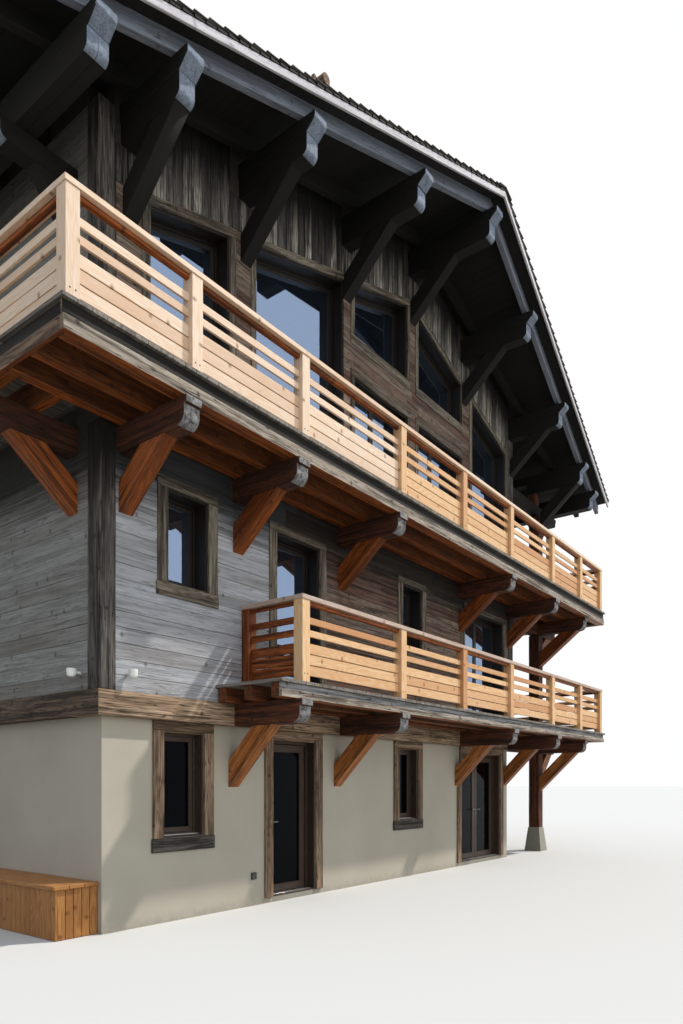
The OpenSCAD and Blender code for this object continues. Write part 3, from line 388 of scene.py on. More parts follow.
class Palette:
    """All finishes of the chalet, each built once."""

    WOODS = {
        # Planed larch, a summer old: straw with reddish rings
        "pale_larch": WoodFinish("planed_larch", "#f3d8b1", "#dba469", "#b0682f", "#dccdb6",
            weather=0.16, spread=0.75, ring_mm=8, crack=0.0, knot=0.9, knot_hex="#7d4a26",
            bump_mm=0.4, roughness=0.55),
        # The same larch higher up, where more sun has bleached it
        "bleached_larch": WoodFinish("bleached_larch", "#f7e8d6", "#dfba94", "#bb8a60", "#e8ddd2",
            weather=0.4, spread=0.7, ring_mm=8, crack=0.0, knot=0.9, knot_hex="#7d5030",
            bump_mm=0.4, roughness=0.58),
        # Hand rails: the same larch, gone pinkish grey in the rain
        "rained_larch": WoodFinish("rained_larch", "#e0cbbb", "#b2947f", "#957561", "#cfc6c0",
            weather=0.5, ring_mm=8, crack=0.3, knot_hex="#6b4a36", bump_mm=0.6, roughness=0.65),
        # The bench: the same larch, oiled
        "oiled_larch": WoodFinish("golden_larch", "#bd894f", "#935d2d", "#74451f", "#9a7f60",
            spread=0.5, ring_mm=8, crack=0.0, knot_hex="#5a3016", bump_mm=0.5, roughness=0.5),
        # Oiled larch with painted warm shade, orange brown: undersides, the upper struts and the
        # lower railing's left end
        "stained_larch": WoodFinish("stained_larch", "#cf7430", "#7c3b16", "#5a2910", "#8c7763",
            weather=0.03, spread=0.55, ring_mm=11, crack=0.8, knot=0.9, knot_hex="#220f07",
            roughness=0.5, streak=0.75, dirt="#241006"),
        # The lower struts: the same larch, golden, painted brighter for the sunlight on them
        "sunlit_larch": WoodFinish("sunlit_larch", "#ea9a52", "#96501f", "#6c3414", "#a08266",
            spread=0.5, ring_mm=11, crack=0.8, knot=0.9, knot_hex="#3a1a0b", roughness=0.5,
            streak=0.7, dirt="#341707"),
        # The same larch where it was left rough: dull red brown
        "aged_larch": WoodFinish("aged_larch", "#a05c30", "#623217", "#3e1d0d", "#6f5b4a",
            weather=0.08, spread=0.6, ring_mm=11, crack=0.8, knot_hex="#1c0d07", bump_mm=1.4,
            roughness=0.7, streak=0.6, dirt="#1d0f08"),
        # Bracket beams of the balconies: red brown in the lee, dark towards the weather
        "beam_larch": WoodFinish("beam_larch", "#84492a", "#44241a", "#26150e", "#6a5a50",
            weather=0.12, spread=0.5, ring_mm=12, fibre_mm=5.0, knot_hex="#120a06", bump_mm=2.5,
            roughness=0.78, streak=0.8, dirt="#140d09"),
        # Fascias: rained silver over brown
        "fascia_boards": WoodFinish("rained_board", "#d8ccbb", "#8a7865", "#5b493a", "#cbc6be",
            weather=0.45, spread=0.5, ring_mm=11, fibre_mm=5.0, crack=1.0, knot=0.9,
            knot_hex="#1d1510", bump_mm=2.4, streak=0.8, dirt="#261c15"),
        # Deck boards: grey brown on top, dark at the joints
        "deck_boards": WoodFinish("trodden_board", "#b0a89d", "#6b6055", "#4b4037", "#aeaba6",
            weather=0.35, spread=0.6, ring_mm=9.0, crack=0.6, knot=0.6, roughness=0.7, streak=0.5),
        # Salvaged roof timbers, hewn and cracked: dark, and painted nearly black for the deep shade
        # under the roof
        "dark_beams": WoodFinish("salvaged_shaded_beam", "#1a1613", "#0e0c0a", "#090706", "#302d29",
            weather=0.1, spread=0.6, ring_mm=12, knot=0.6, knot_hex="#0c0806", bump_mm=2.5,
            roughness=0.8, streak=0.7, dirt="#0b0908"),
        # The ring beam: salvaged and hewn, its front and top paler than its sides with their
        # painted shade
        "ring_timber": WoodFinish("hewn_ring_beam", "#e2c2a2", "#86684c", "#4f3826", "#c3b4a3",
            weather=0.3, spread=0.3, ring_mm=14, fibre_mm=7.0, crack=1.0, knot_hex="#1c130c",
            bump_mm=3.5, roughness=0.82, streak=0.8, dirt="#2a1d13", fibre_run=1.4),
        # Its sides: the same timber, dark brown as painted shade
        "beam_ring": WoodFinish("shaded_ring_beam", "#7d6855", "#43342a", "#2b2019", "#7b7268", weather=0.2,
            spread=0.3, ring_mm=14, fibre_mm=7.0, crack=1.0, knot_hex="#130d09", bump_mm=3.5,
            streak=0.85, dirt="#17100b"),
        # Cladding boards gone silver grey, some browner, with painted shade, near black, close
        # under the upper balcony
        "weathered_planks": WoodFinish("silvered_board", "#aeada9", "#82807c", "#64594c", "#a3a5a4",
            weather=0.55, spread=0.75, crack=0.5, knot=0.7, knot_hex="#2e2723", bump_mm=0.9,
            streak=0.4, dirt="#4f4a45", fibre_run=1.6, lee=0.9, shade_from=(4.85, 5.35),
            shade_slope=0.0, shade_top=5.6),
        # The same boards on the front, which the sun has bleached bluish, with the same painted
        # shade under the upper balcony
        "sunned_planks": WoodFinish("bleached_cladding", "#d2d3d7", "#9b9b9d", "#766a60", "#c4cad4",
            weather=0.55, spread=0.75, crack=0.5, knot=0.7, knot_hex="#2e2723", bump_mm=0.9,
            streak=0.35, dirt="#4a4541", fibre_run=1.6, lee=0.92, shade_from=(4.85, 5.35),
            shade_slope=0.0, shade_top=5.6),
        # Towards the lee the same boards kept their brown, with the same painted shade under the
        # upper balcony
        "brown_planks": WoodFinish("browned_cladding", "#a8937e", "#5f4a3b", "#5a301e", "#9b9894",
            weather=0.35, spread=0.95, ring_mm=10, crack=0.7, knot_hex="#1f1611", streak=0.7,
            dirt="#221812", sort=(0.15, 0.85), fibre_run=1.8, lee=0.9, shade_from=(4.85, 5.35),
            shade_slope=0.0, shade_top=5.6),
        # Upright gable boards: silver, brown and black side by side, with painted shade, near
        # black, close under the roof
        "gable_planks": WoodFinish("streaked_board", "#ddd6c8", "#564a3e", "#170e0a", "#d2cfc6",
            weather=0.3, spread=1.0, ring_mm=14, fibre_mm=7.0, crack=0.7, knot=0.5,
            knot_hex="#1a1512", bump_mm=1.6, streak=0.9, dirt="#0f0c0a", sort=(0.3, 0.65), lee=0.97,
            shade_from=(10.2, 10.9)),
        # Beam ends: silvered by rain, bluish
        "beam_ends": WoodFinish("silvered_end", "#a3adbd", "#6d7583", "#59606c", "#a9b6cb",
            weather=0.6, spread=0.3, ring_mm=10, crack=0.6, knot=0.3, knot_hex="#2b2f36",
            roughness=0.85, streak=0.35, dirt="#3d434e"),
        # Fascia boards: bleached grey over brown
        "grey_boards": WoodFinish("bleached_board", "#bbb9b8", "#7b7775", "#57514c", "#b0b2b7",
            weather=0.55, ring_mm=10, knot=0.9, knot_hex="#1d1815", bump_mm=2.0, roughness=0.85,
            streak=0.7, dirt="#35302c"),
        # Outer verge boards in the full sun: pale silver, partly bleached and partly painted
        # sunlight
        "pale_verge": WoodFinish("pale_silver_board", "#f1eef1", "#c3bfc4", "#a5a0a2", "#e9e7ee",
            weather=0.6, ring_mm=10, crack=0.4, knot=0.5, knot_hex="#5b5350", bump_mm=1.0,
            roughness=0.78, streak=0.3, dirt="#7a7478"),
        # Inner verge boards: smoother and silver
        "silver_boards": WoodFinish("silver_board", "#b0b6c6", "#7b818f", "#696c75", "#a3acbf",
            weather=0.6, ring_mm=10, crack=0.5, knot=0.6, knot_hex="#3b3531", roughness=0.8,
            streak=0.35, dirt="#4c4743"),
        # Boards round the windows: salvaged, light brown with a rough sawn face
        "surround_boards": WoodFinish("salvaged_board", "#c4a389", "#6c533e", "#46331f", "#968978",
            weather=0.25, spread=0.6, fibre_mm=5.0, knot_hex="#1c130c", bump_mm=2.4, roughness=0.82,
            streak=0.7, dirt="#2a1f17"),
        # The same boards in the gable: rained grey and olive
        "gable_surround": WoodFinish("rained_surround", "#ab9d8a", "#5a4c3e", "#2c231b", "#9d9a90",
            weather=0.35, spread=0.9, fibre_mm=5.0, knot_hex="#1c130c", bump_mm=2.4, streak=0.8,
            dirt="#241d16"),
        # Corner posts, the upper fascia's top boards and the ground windows' sills: the same wood,
        # darker
        # Painted shade, near black, on posts and boards close under the upper balcony's deck
        "post_timber": WoodFinish("hewn_post", "#79716a", "#35302c", "#25201c", "#86837f",
            weather=0.25, ring_mm=12, fibre_mm=7.0, crack=1.0, knot=0.7, knot_hex="#120c08",
            bump_mm=3.5, streak=0.85, dirt="#15110e", lee=0.9, shade_from=(4.85, 5.4), shade_slope=0.0,
            shade_top=5.7),
        # Window and door frames: dark stained pine
        "frame_wood": WoodFinish("dark_stained_pine", "#55443a", "#30241d", "#1e1510", "#655a50",
            spread=0.3, ring_mm=7, crack=0.0, knot=0.2, knot_hex="#150d08", bump_mm=0.4,
            roughness=0.42),
        # The upper storeys' frames and linings: stained nearly black
        "dark_frame": WoodFinish("black_stained_pine", "#2c2521", "#1a1613", "#100d0b", "#3b3631",
            spread=0.3, ring_mm=7, crack=0.0, knot=0.2, knot_hex="#0c0907", bump_mm=0.4,
            roughness=0.45),
        # Split shingles: grey brown and dry
        "roof_shingles": WoodFinish("split_shingle", "#77716b", "#46403b", "#3a302a", "#8a8785",
            weather=0.55, spread=0.8, ring_mm=6, knot=0.0, bump_mm=2.0, roughness=0.88, streak=0.4),
        # Soffit boards above the rafters: dark with age, and painted nearly black for the deep
        # shade under the eaves
        "soffit": WoodFinish("aged_shaded_soffit", "#151210", "#0c0a08", "#080605", "#1d1a17", weather=0.1,
            spread=0.7, crack=0.5, knot_hex="#0b0705", roughness=0.8, streak=0.5, dirt="#080605"),
        # Floors and the inner faces of the timber walls
        "floor_timber": WoodFinish("sawn_spruce", "#a9825a", "#8a6744", "#6f5035", "#8b7a68",
            weather=0.1, ring_mm=9.0, crack=0.2, knot=1.0, roughness=0.7,
            source=GrainSource.OBJECT),
        # The walls' cores, which show only as the dark joints behind the boards
        "wall_core": WoodFinish("wall_core", "#4e4842", "#332e2a", "#2a2420", "#5b5954",
            weather=0.2, ring_mm=9.0, crack=0.3, knot=0.3, roughness=0.7,
            source=GrainSource.OBJECT),
    }

    # The back has no balcony over it, so its boards get no painted shade and are silver all the way
    # up
    WOODS["rear_planks"] = replace(WOODS["weathered_planks"], name="silvered_rear_board", lee=0.0)

    OTHERS = {
        # Lime and cement render, floated: warm grey with damp foot
        "render": MineralFinish("floated_render", "#bab3a4", "#ada596", "#8f8779", damp_top=0.12),
        # Cast concrete of the piers
        "concrete": MineralFinish("cast_concrete", "#a19d90", "#8a8577", "#6d685b", grit_mm=4,
            bump_mm=1.6),
        # Clear float glass of the ground storey, tinted near black: painted darkness of the rooms
        # behind it
        "clear_glazing": GlassFinish("clear_double_glazing", "#2a302c", "#b4cdfa", 1.14),
        # Sun-guard glass above: its metal film mirrors the sky, which a high index gives
        "window_glass": GlassFinish("sun_guard_glazing", "#6a7c90", "#c0d8ff", 5.0),
        # Enamelled cast aluminium of the spot lamps
        "lamp_housing": CoatedFinish("white_enamel", "#f0f0ec", 0.35),
        # Satin steel of handles, hinges and screws
        "steel": CoatedFinish("satin_steel", "#8d8c88", 0.35, 1.0),
        # Anodised drip strips
        "strip": CoatedFinish("anodised_strip", "#b9bab8", 0.3, 0.85),
        # Blackened wood screws
        "screw": CoatedFinish("blackened_screw", "#2c2723", 0.55, 0.6),
        # Moulded plastic of the wall socket
        "socket_plastic": CoatedFinish("moulded_plastic", "#26262a", 0.5),
    }

    def __init__(self) -> None:
        """Build every finish."""
        finishes = {**self.WOODS, **self.OTHERS}
        self.mats: dict[str, Material] = {k: f.material() for k, f in finishes.items()}

    def __getitem__(self, key: str) -> Material:
        """Return the finish with that name."""
        return self.mats[key]


@dataclass(frozen=True)
class Opening:
    """A window or door opening in a wall's own plane."""

    left: float
    right: float
    sill: float
    head: float
    slope: float = 0.0
    leaves: int = 1

    def outline(self, inset: float = 0.0) -> list[Point]:
        """Return the four corners, drawn in by inset.

        Args:
            inset: How far every side moves inwards.

        Returns:
            Corners from lower left, counter-clockwise.
        """
        x0, x1 = self.left + inset, self.right - inset
        drop = inset * math.hypot(1, self.slope)
        return [(x0, self.sill + inset), (x1, self.sill + inset),
                (x1, self.head + self.slope * (x1 - self.left) - drop),
                (x0, self.head + self.slope * (x0 - self.left) - drop)]

    def mirrored(self) -> Opening:
        """Return a level-headed opening as the back wall's own frame has it."""
        return Opening(-self.right, -self.left, self.sill, self.head)

    def top_at(self, x: float) -> float:
        """Return the height of the head at x."""
        return self.head + self.slope * (x - self.left)


@dataclass(frozen=True)
class Plan:
    """The chalet's main sizes, the same as the solids have."""

    half_w: float = 6.08
    half_d: float = 5.5
    gallery_w: float = 2.06
    proud: float = 0.07
    ring_z: float = 2.59
    lower_z: float = 2.80
    beam_z: float = 5.40
    upper_z: float = 5.70
    ridge_z: float = 11.0
    pitch: float = 0.317
    cover: float = 0.07
    rafter_h: float = 0.19
    eave: float = 7.6
    verge_ridge: float = 1.83
    verge_eave: float = 1.10
    drop: float = 0.96
    # Windows: width, then sill and head over the ground or over a storey's floor
    window_w: float = 0.61
    sill_ground: float = 0.97
    head_ground: float = 2.21
    sill_up: float = 1.09
    head_up: float = 2.17
    side_window: float = 2.5
    # Ground doors: half widths and the threshold's foot
    garden_half: float = 0.455
    terrace_half: float = 0.87
    door_foot: float = 0.07
    # Outer edges of the balconies: front, left, right, back and the lower one's left end
    edge_front: float = -6.65
    edge_left: float = -7.23
    edge_right: float = 7.0
    edge_back: float = 5.5
    edge_lower: float = -4.52
    # Lines of the purlins beside the ridge
    purlins: tuple[float, ...] = (1.88, 4.03, 5.79)

    @property
    def xl(self) -> float:
        """Rendered left wall's face."""
        return -self.half_w

    @property
    def xg(self) -> float:
        """Rendered right wall's face, behind the gallery."""
        return self.half_w - self.gallery_w

    @property
    def xlt(self) -> float:
        """Timber left wall's face."""
        return self.xl - self.proud

    @property
    def xgt(self) -> float:
        """Timber right wall's face."""
        return self.xg + self.proud

    @property
    def yft(self) -> float:
        """Timber front wall's face."""
        return -self.half_d - self.proud

    def roof(self, x: float) -> float:
        """Return the height of the roof's surface at x."""
        return self.ridge_z - self.pitch * abs(x)

    def under(self, x: float) -> float:
        """Return the height of the rafters' underside at x."""
        return self.roof(x) - self.cover - self.rafter_h

    def verge(self, x: float) -> float:
        """Return the distance of the roof's edge from the middle of the house at x."""
        taper = (self.verge_ridge - self.verge_eave) / self.eave
        return self.half_d + self.verge_ridge - taper * abs(x)

    def plain(self, x: float, w: float, sill: float, head: float, leaves: int = 1) -> Opening:
        """Return an opening with a level head about the line x."""
        return Opening(x - w / 2, x + w / 2, sill, head, 0.0, leaves)

    def gable(self, a: float, b: float, sill: float) -> Opening:
        """Return an opening from a to b, parts of the width, whose head follows the roof."""
        x0, x1 = self.xl + a * 2 * self.half_w, self.xl + b * 2 * self.half_w
        slope = self.pitch if x0 < 0 else -self.pitch
        return Opening(x0, x1, sill, self.under(x0) - self.drop, slope)

    @property
    def columns(self) -> tuple[float, float, float, float]:
        """Lines of the openings along the front."""
        return tuple(self.xl + part * 2 * self.half_w for part in (0.0913, 0.2541, 0.4992, 0.7278))

    def ground(self, x: float) -> Opening:
        """Return a window of the rendered storey about the line x."""
        return self.plain(x, self.window_w, self.sill_ground, self.head_ground)

    def upper(self, x: float, floor: float) -> Opening:
        """Return a window of a timber storey about the line x, over its floor."""
        return self.plain(x, self.window_w, floor + self.sill_up, floor + self.head_up)

    def front_ground(self) -> list[Opening]:
        """Windows of the rendered front wall."""
        return [self.ground(x) for x in self.columns[::2]]

    def front_middle(self) -> list[Opening]:
        """Windows and glazed doors of the middle storey's front."""
        a, b, c, d = self.columns
        z, head = self.lower_z, self.lower_z + self.head_up
        return [self.upper(a, z), self.plain(b, 0.91, z, head), self.upper(c, z),
                self.plain(d, 1.74, z, head, 2)]

    def front_gable(self) -> list[Opening]:
        """Windows and glazed doors of the gable."""
        z = self.upper_z
        tall = [self.gable(a, b, z) for a, b in ((0.046, 0.1455), (0.184, 0.339), (0.681, 0.807))]
        high = [self.gable(a, b, z + 2.77) for a, b in ((0.361, 0.486), (0.515, 0.6455))]
        doors = [Opening(o.left, o.right, z, z + 2.12, 0.0, 2) for o in high]
        return tall + high + doors

    def back_ground(self) -> list[Opening]:
        """Windows of the rendered back wall."""
        return [self.ground(x) for x in self.columns]

    def back_timber(self) -> list[Opening]:
        """Windows of the back above the ground storey."""
        return [self.upper(x, z) for z in (self.lower_z, self.upper_z) for x in self.columns]

    def side_ground(self) -> list[Opening]:
        """Windows of a rendered side wall, along Y."""
        return [self.ground(s * self.side_window) for s in (-1, 1)]

    def side_timber(self) -> list[Opening]:
        """Windows of a timber side wall, along Y."""
        return [self.upper(s * self.side_window, z) for z in (self.lower_z, self.upper_z)
                for s in (-1, 1)]

    def door(self, column: int, half: float) -> Opening:
        """Return a ground door's opening about a column of the front."""
        x = self.columns[column]
        return Opening(x - half, x + half, self.door_foot, self.head_ground)


class Facing(Enum):
    """The side that a wall's outer face looks to, as the turn about Z from the front."""

    FRONT = 0.0
    RIGHT = 90.0
    BACK = 180.0
    LEFT = -90.0

    def frame(self, face: float) -> Matrix:
        """Return the wall's frame: X along it, Z up and Y into the wall.

        Args:
            face: Distance of the outer face from the middle of the house.

        Returns:
            A matrix that carries the front's frame to this side.
        """
        turn = Matrix.Rotation(math.radians(self.value), 4, "Z")
        return turn @ Matrix.Translation((0.0, -face, 0.0))


def link(mesh: Mesh, name: str, mats: Iterable[Material] = (), smooth: float = 0.0) -> Object:
    """Put a mesh into the scene, with its finishes, smooth up to an angle in degrees if given."""
    for mat in mats:
        mesh.materials.append(mat)
    if smooth:
        mesh.shade_smooth()
        mesh.set_sharp_from_angle(angle=math.radians(smooth))
    obj = bpy.data.objects.new(name, mesh)
    bpy.context.scene.collection.objects.link(obj)
    return obj


def chamfer(obj: Object, width: float, segments: int = 1) -> Object:
    """Take the sharpness off a piece's edges.

    Args:
        obj: The piece.
        width: Width of the chamfer.
        segments: Facets across it.

    Returns:
        The same piece.
    """
    mod = obj.modifiers.new("arris", "BEVEL")
    mod.width = width
    mod.segments = segments
    mod.limit_method = "ANGLE"
    mod.angle_limit = math.radians(35)
    mod.use_clamp_overlap = True
    return obj


def settle(obj: Object) -> Object:
    """Turn a piece's modifiers into plain mesh and remove them.

    Args:
        obj: The piece.

    Returns:
        The same piece with a plain mesh.
    """
    graph = bpy.context.evaluated_depsgraph_get()
    graph.update()
    mesh = bpy.data.meshes.new_from_object(obj.evaluated_get(graph), preserve_all_data_layers=True,
                                           depsgraph=graph)
    mesh.name = obj.name
    obj.modifiers.clear()
    obj.data = mesh
    return obj


def cross_axes(way: Vector) -> tuple[Vector, Vector]:
    """Return two directions square to a grain, level and upright where they can be."""
    up = AXES["Z"] if abs(way.z) < 0.95 else AXES["X"]
    level = way.cross(up).normalized()
    return level, way.cross(level)


@dataclass
class Timber:
    """Members with their own grain, gathered into one mesh."""

    name: str
    seed: int = 1
    verts: list[Vector] = field(default_factory=list)
    faces: list[tuple[int, ...]] = field(default_factory=list)
    grains: list[list[Vector]] = field(default_factory=list)
    tones: list[float] = field(default_factory=list)
    slots: list[int] = field(default_factory=list)

    def __post_init__(self) -> None:
        """Seed the piece's own random numbers."""
        self.rng = random.Random(self.seed)

    def prism(self, outline: Sequence[Point], depth: float, frame: Matrix,
            along: Vector | None = None, slot: int = 0, tone: float | None = None) -> None:
        """Add a member: an outline in local X and Z, extruded along local Y.

        Args:
            outline: Corners, counter-clockwise seen against local Y.
            depth: Length of the extrusion, from local Y 0.
            frame: Placement of the local axes.
            along: Direction of the grain in local axes, X if left out.
            slot: Number of the material.
            tone: The member's shade from 0 to 1, random if left out.
        """
        n = len(outline)
        base = len(self.verts)
        local = [Vector((x, y, z)) for y in (0.0, depth) for x, z in outline]
        self.verts += [frame @ p for p in local]
        faces = [tuple(range(n)), tuple(range(2 * n - 1, n - 1, -1))]
        faces += [(i + n, (i + 1) % n + n, (i + 1) % n, i) for i in range(n)]
        axis = (along or AXES["X"]).normalized()
        other, third = cross_axes(axis)
        shift = Vector([self.rng.uniform(0, 40) for _ in range(3)])
        shade = self.rng.random() if tone is None else tone
        for f in faces:
            self.faces.append(tuple(base + i for i in f))
            self.grains.append([Vector([local[i].dot(way) for way in (axis, other, third)]) + shift
                                for i in f])
            self.tones.append(shade)
            self.slots.append(slot)

    def box(self, low: Sequence[float], high: Sequence[float], frame: Matrix | None = None,
            along: str = "X", slot: int = 0, tone: float | None = None) -> None:
        """Add a straight board between two corners.

        Args:
            low: Lowest corner.
            high: Highest corner.
            frame: Placement, the house's own if left out.
            along: Axis of the grain.
            slot: Number of the material.
            tone: The board's shade, random if left out.
        """
        put = (frame or Matrix.Identity(4)) @ Matrix.Translation((0.0, low[1], 0.0))
        outline = [(low[0], low[2]), (high[0], low[2]), (high[0], high[2]), (low[0], high[2])]
        self.prism(outline, high[1] - low[1], put, AXES[along], slot, tone)

    def build(self, mats: Sequence[Material], bevel: float = 0.0) -> Object:
        """Make the object.

        Args:
            mats: Materials in the order of the members' slots.
            bevel: Width of the chamfer on all edges, or 0.

        Returns:
            The new object, with its grain and tone stored on it.
        """
        mesh = bpy.data.meshes.new(self.name)
        mesh.from_pydata(self.verts, [], self.faces)
        grain = mesh.attributes.new(GRAIN, "FLOAT_VECTOR", "CORNER")
        tone = mesh.attributes.new(TONE, "FLOAT", "FACE")
        grain.data.foreach_set("vector", [c for face in self.grains for v in face for c in v])
        tone.data.foreach_set("value", self.tones)
        mesh.polygons.foreach_set("material_index", self.slots)
        mesh.update()
        obj = link(mesh, self.name, mats)
        outward(obj)
        if bevel:
            chamfer(obj, bevel)
        return obj


def outward(obj: Object) -> None:
    """Point all faces of a closed piece outwards."""
    work = bmesh.new()
    work.from_mesh(obj.data)
    bmesh.ops.recalc_face_normals(work, faces=work.faces)
    work.to_mesh(obj.data)
    work.free()


Rule = Callable[[Vector, Vector], tuple[Vector | None, int] | None]


def upright(centre: Vector, normal: Vector) -> tuple[Vector, int]:
    """Give all faces of a post an upright grain."""
    return AXES["Z"], 0


@dataclass
class Member:
    """A timber piece copied from a node of the frame, with a grain for each solid."""

    node: str
    mats: Sequence[Material]
    slot: str
    bevel: float = 0.005
    rule: Rule | None = None
    hewn: float = 0.0
    step: float = 0.25
    seed: int = 3
    body: str = "house"

    def build(self, source: Object) -> Object:
        """Copy the node's mesh, merge it, and give every solid its grain and tone.

        Args:
            source: The node's object in the frame.

        Returns:
            The dressed piece, riding on its body in place of the node.
        """
        rng = random.Random(self.seed)
        work = bmesh.new()
        work.from_mesh(source.data)
        bmesh.ops.remove_doubles(work, verts=work.verts, dist=0.0001)
        bmesh.ops.dissolve_limit(work, angle_limit=math.radians(0.5), verts=work.verts,
            edges=work.edges)
        if self.hewn:
            self._roughen(work)
        grain = work.loops.layers.float_vector.new(GRAIN)
        tone = work.faces.layers.float.new(TONE)
        for solid in islands(work):
            axis = longest(solid)
            shift = Vector([rng.uniform(0, 40) for _ in range(3)])
            shades = [rng.random() for _ in range(7)]
            for face in solid:
                kind = self.rule(face.calc_center_median(), face.normal) if self.rule else None
                way, index = kind or (axis, 0)
                way = axis if way is None else way
                other, third = cross_axes(way)
                for loop in face.loops:
                    p = loop.vert.co
                    place = Vector((p.dot(way), p.dot(other), p.dot(third)))
                    loop[grain] = place + shift * (1 + index)
                face[tone] = shades[(index * 3 + round(abs(way.z) * 2)) % 7]
                face.material_index = min(index, len(self.mats) - 1)
        mesh = bpy.data.meshes.new(self.node + "_dressed")
        work.to_mesh(mesh)
        work.free()
        obj = link(mesh, self.node + "_dressed", self.mats, 32)
        if self.bevel:
            chamfer(obj, self.bevel)
        adopt(obj, self.body, self.slot, self.node)
        return obj

    def _roughen(self, work: BMesh) -> None:
        """Cut each solid across its length and let its faces wander, as an axe leaves them."""
        # Unseeded, the noise would start somewhere else each run
        noise.seed_set(self.seed)
        for solid in islands(work):
            axis = longest(solid)
            spots = [v.co.dot(axis) for f in solid for v in f.verts]
            low, high = min(spots), max(spots)
            count = int((high - low) / self.step)
            for i in range(1, count + 1):
                faces = [f for f in solid if f.is_valid]
                parts = (*faces, *(e for f in faces for e in f.edges),
                         *(v for f in faces for v in f.verts))
                geom = list(dict.fromkeys(parts))
                at = axis * (low + (high - low) * i / (count + 1))
                cut = bmesh.ops.bisect_plane(work, geom=geom, plane_co=at, plane_no=axis,
                    dist=0.0005)
                solid = [g for g in cut["geom"] if isinstance(g, BMFace)]
            for v in {v for f in solid if f.is_valid for v in f.verts}:
                shove = noise.noise_vector(v.co * 2.3) * self.hewn
                v.co += shove - axis * shove.dot(axis)


def islands(work: BMesh) -> list[list[BMFace]]:
    """Return the faces of each closed solid in a mesh."""
    left = set(work.faces)
    found = []
    for start in list(work.faces):
        if start not in left:
            continue
        left.discard(start)
        group, queue = [start], [start]
        while queue:
            for edge in queue.pop().edges:
                for face in edge.link_faces:
                    if face in left:
                        left.discard(face)
                        group.append(face)
                        queue.append(face)
        found.append(group)
    return found


def longest(solid: Iterable[BMFace]) -> Vector:
    """Return the direction of a solid's longest edge, the same whatever the edges' order.

    Args:
        solid: The solid's faces.

    Returns:
        The unit direction, with its largest part positive.
    """
    def rank(edge: BMEdge) -> tuple[float, ...]:
        """Order edges by length, then by direction and place, to a hundredth of a millimetre."""
        middle = (edge.verts[0].co + edge.verts[1].co) / 2
        return tuple(round(x, 5) for x in (edge.calc_length(), *direction(edge), *middle))

    return direction(max((e for f in solid for e in f.edges), key=rank))


def direction(edge: BMEdge) -> Vector:
    """Return an edge's unit direction, turned so that its largest part is positive."""
    way = (edge.verts[1].co - edge.verts[0].co).normalized()
    return -way if max(way, key=abs) < 0 else way


def adopt(obj: Object, body: str, slot: str, *nodes: str) -> None:
    """Let a piece ride on a body and stand for nodes."""
    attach(obj, body)
    if nodes:
        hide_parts(*nodes)
    LOG.info("%s rides on %s and stands for %s", obj.name, body, ", ".join(nodes) or "nothing")


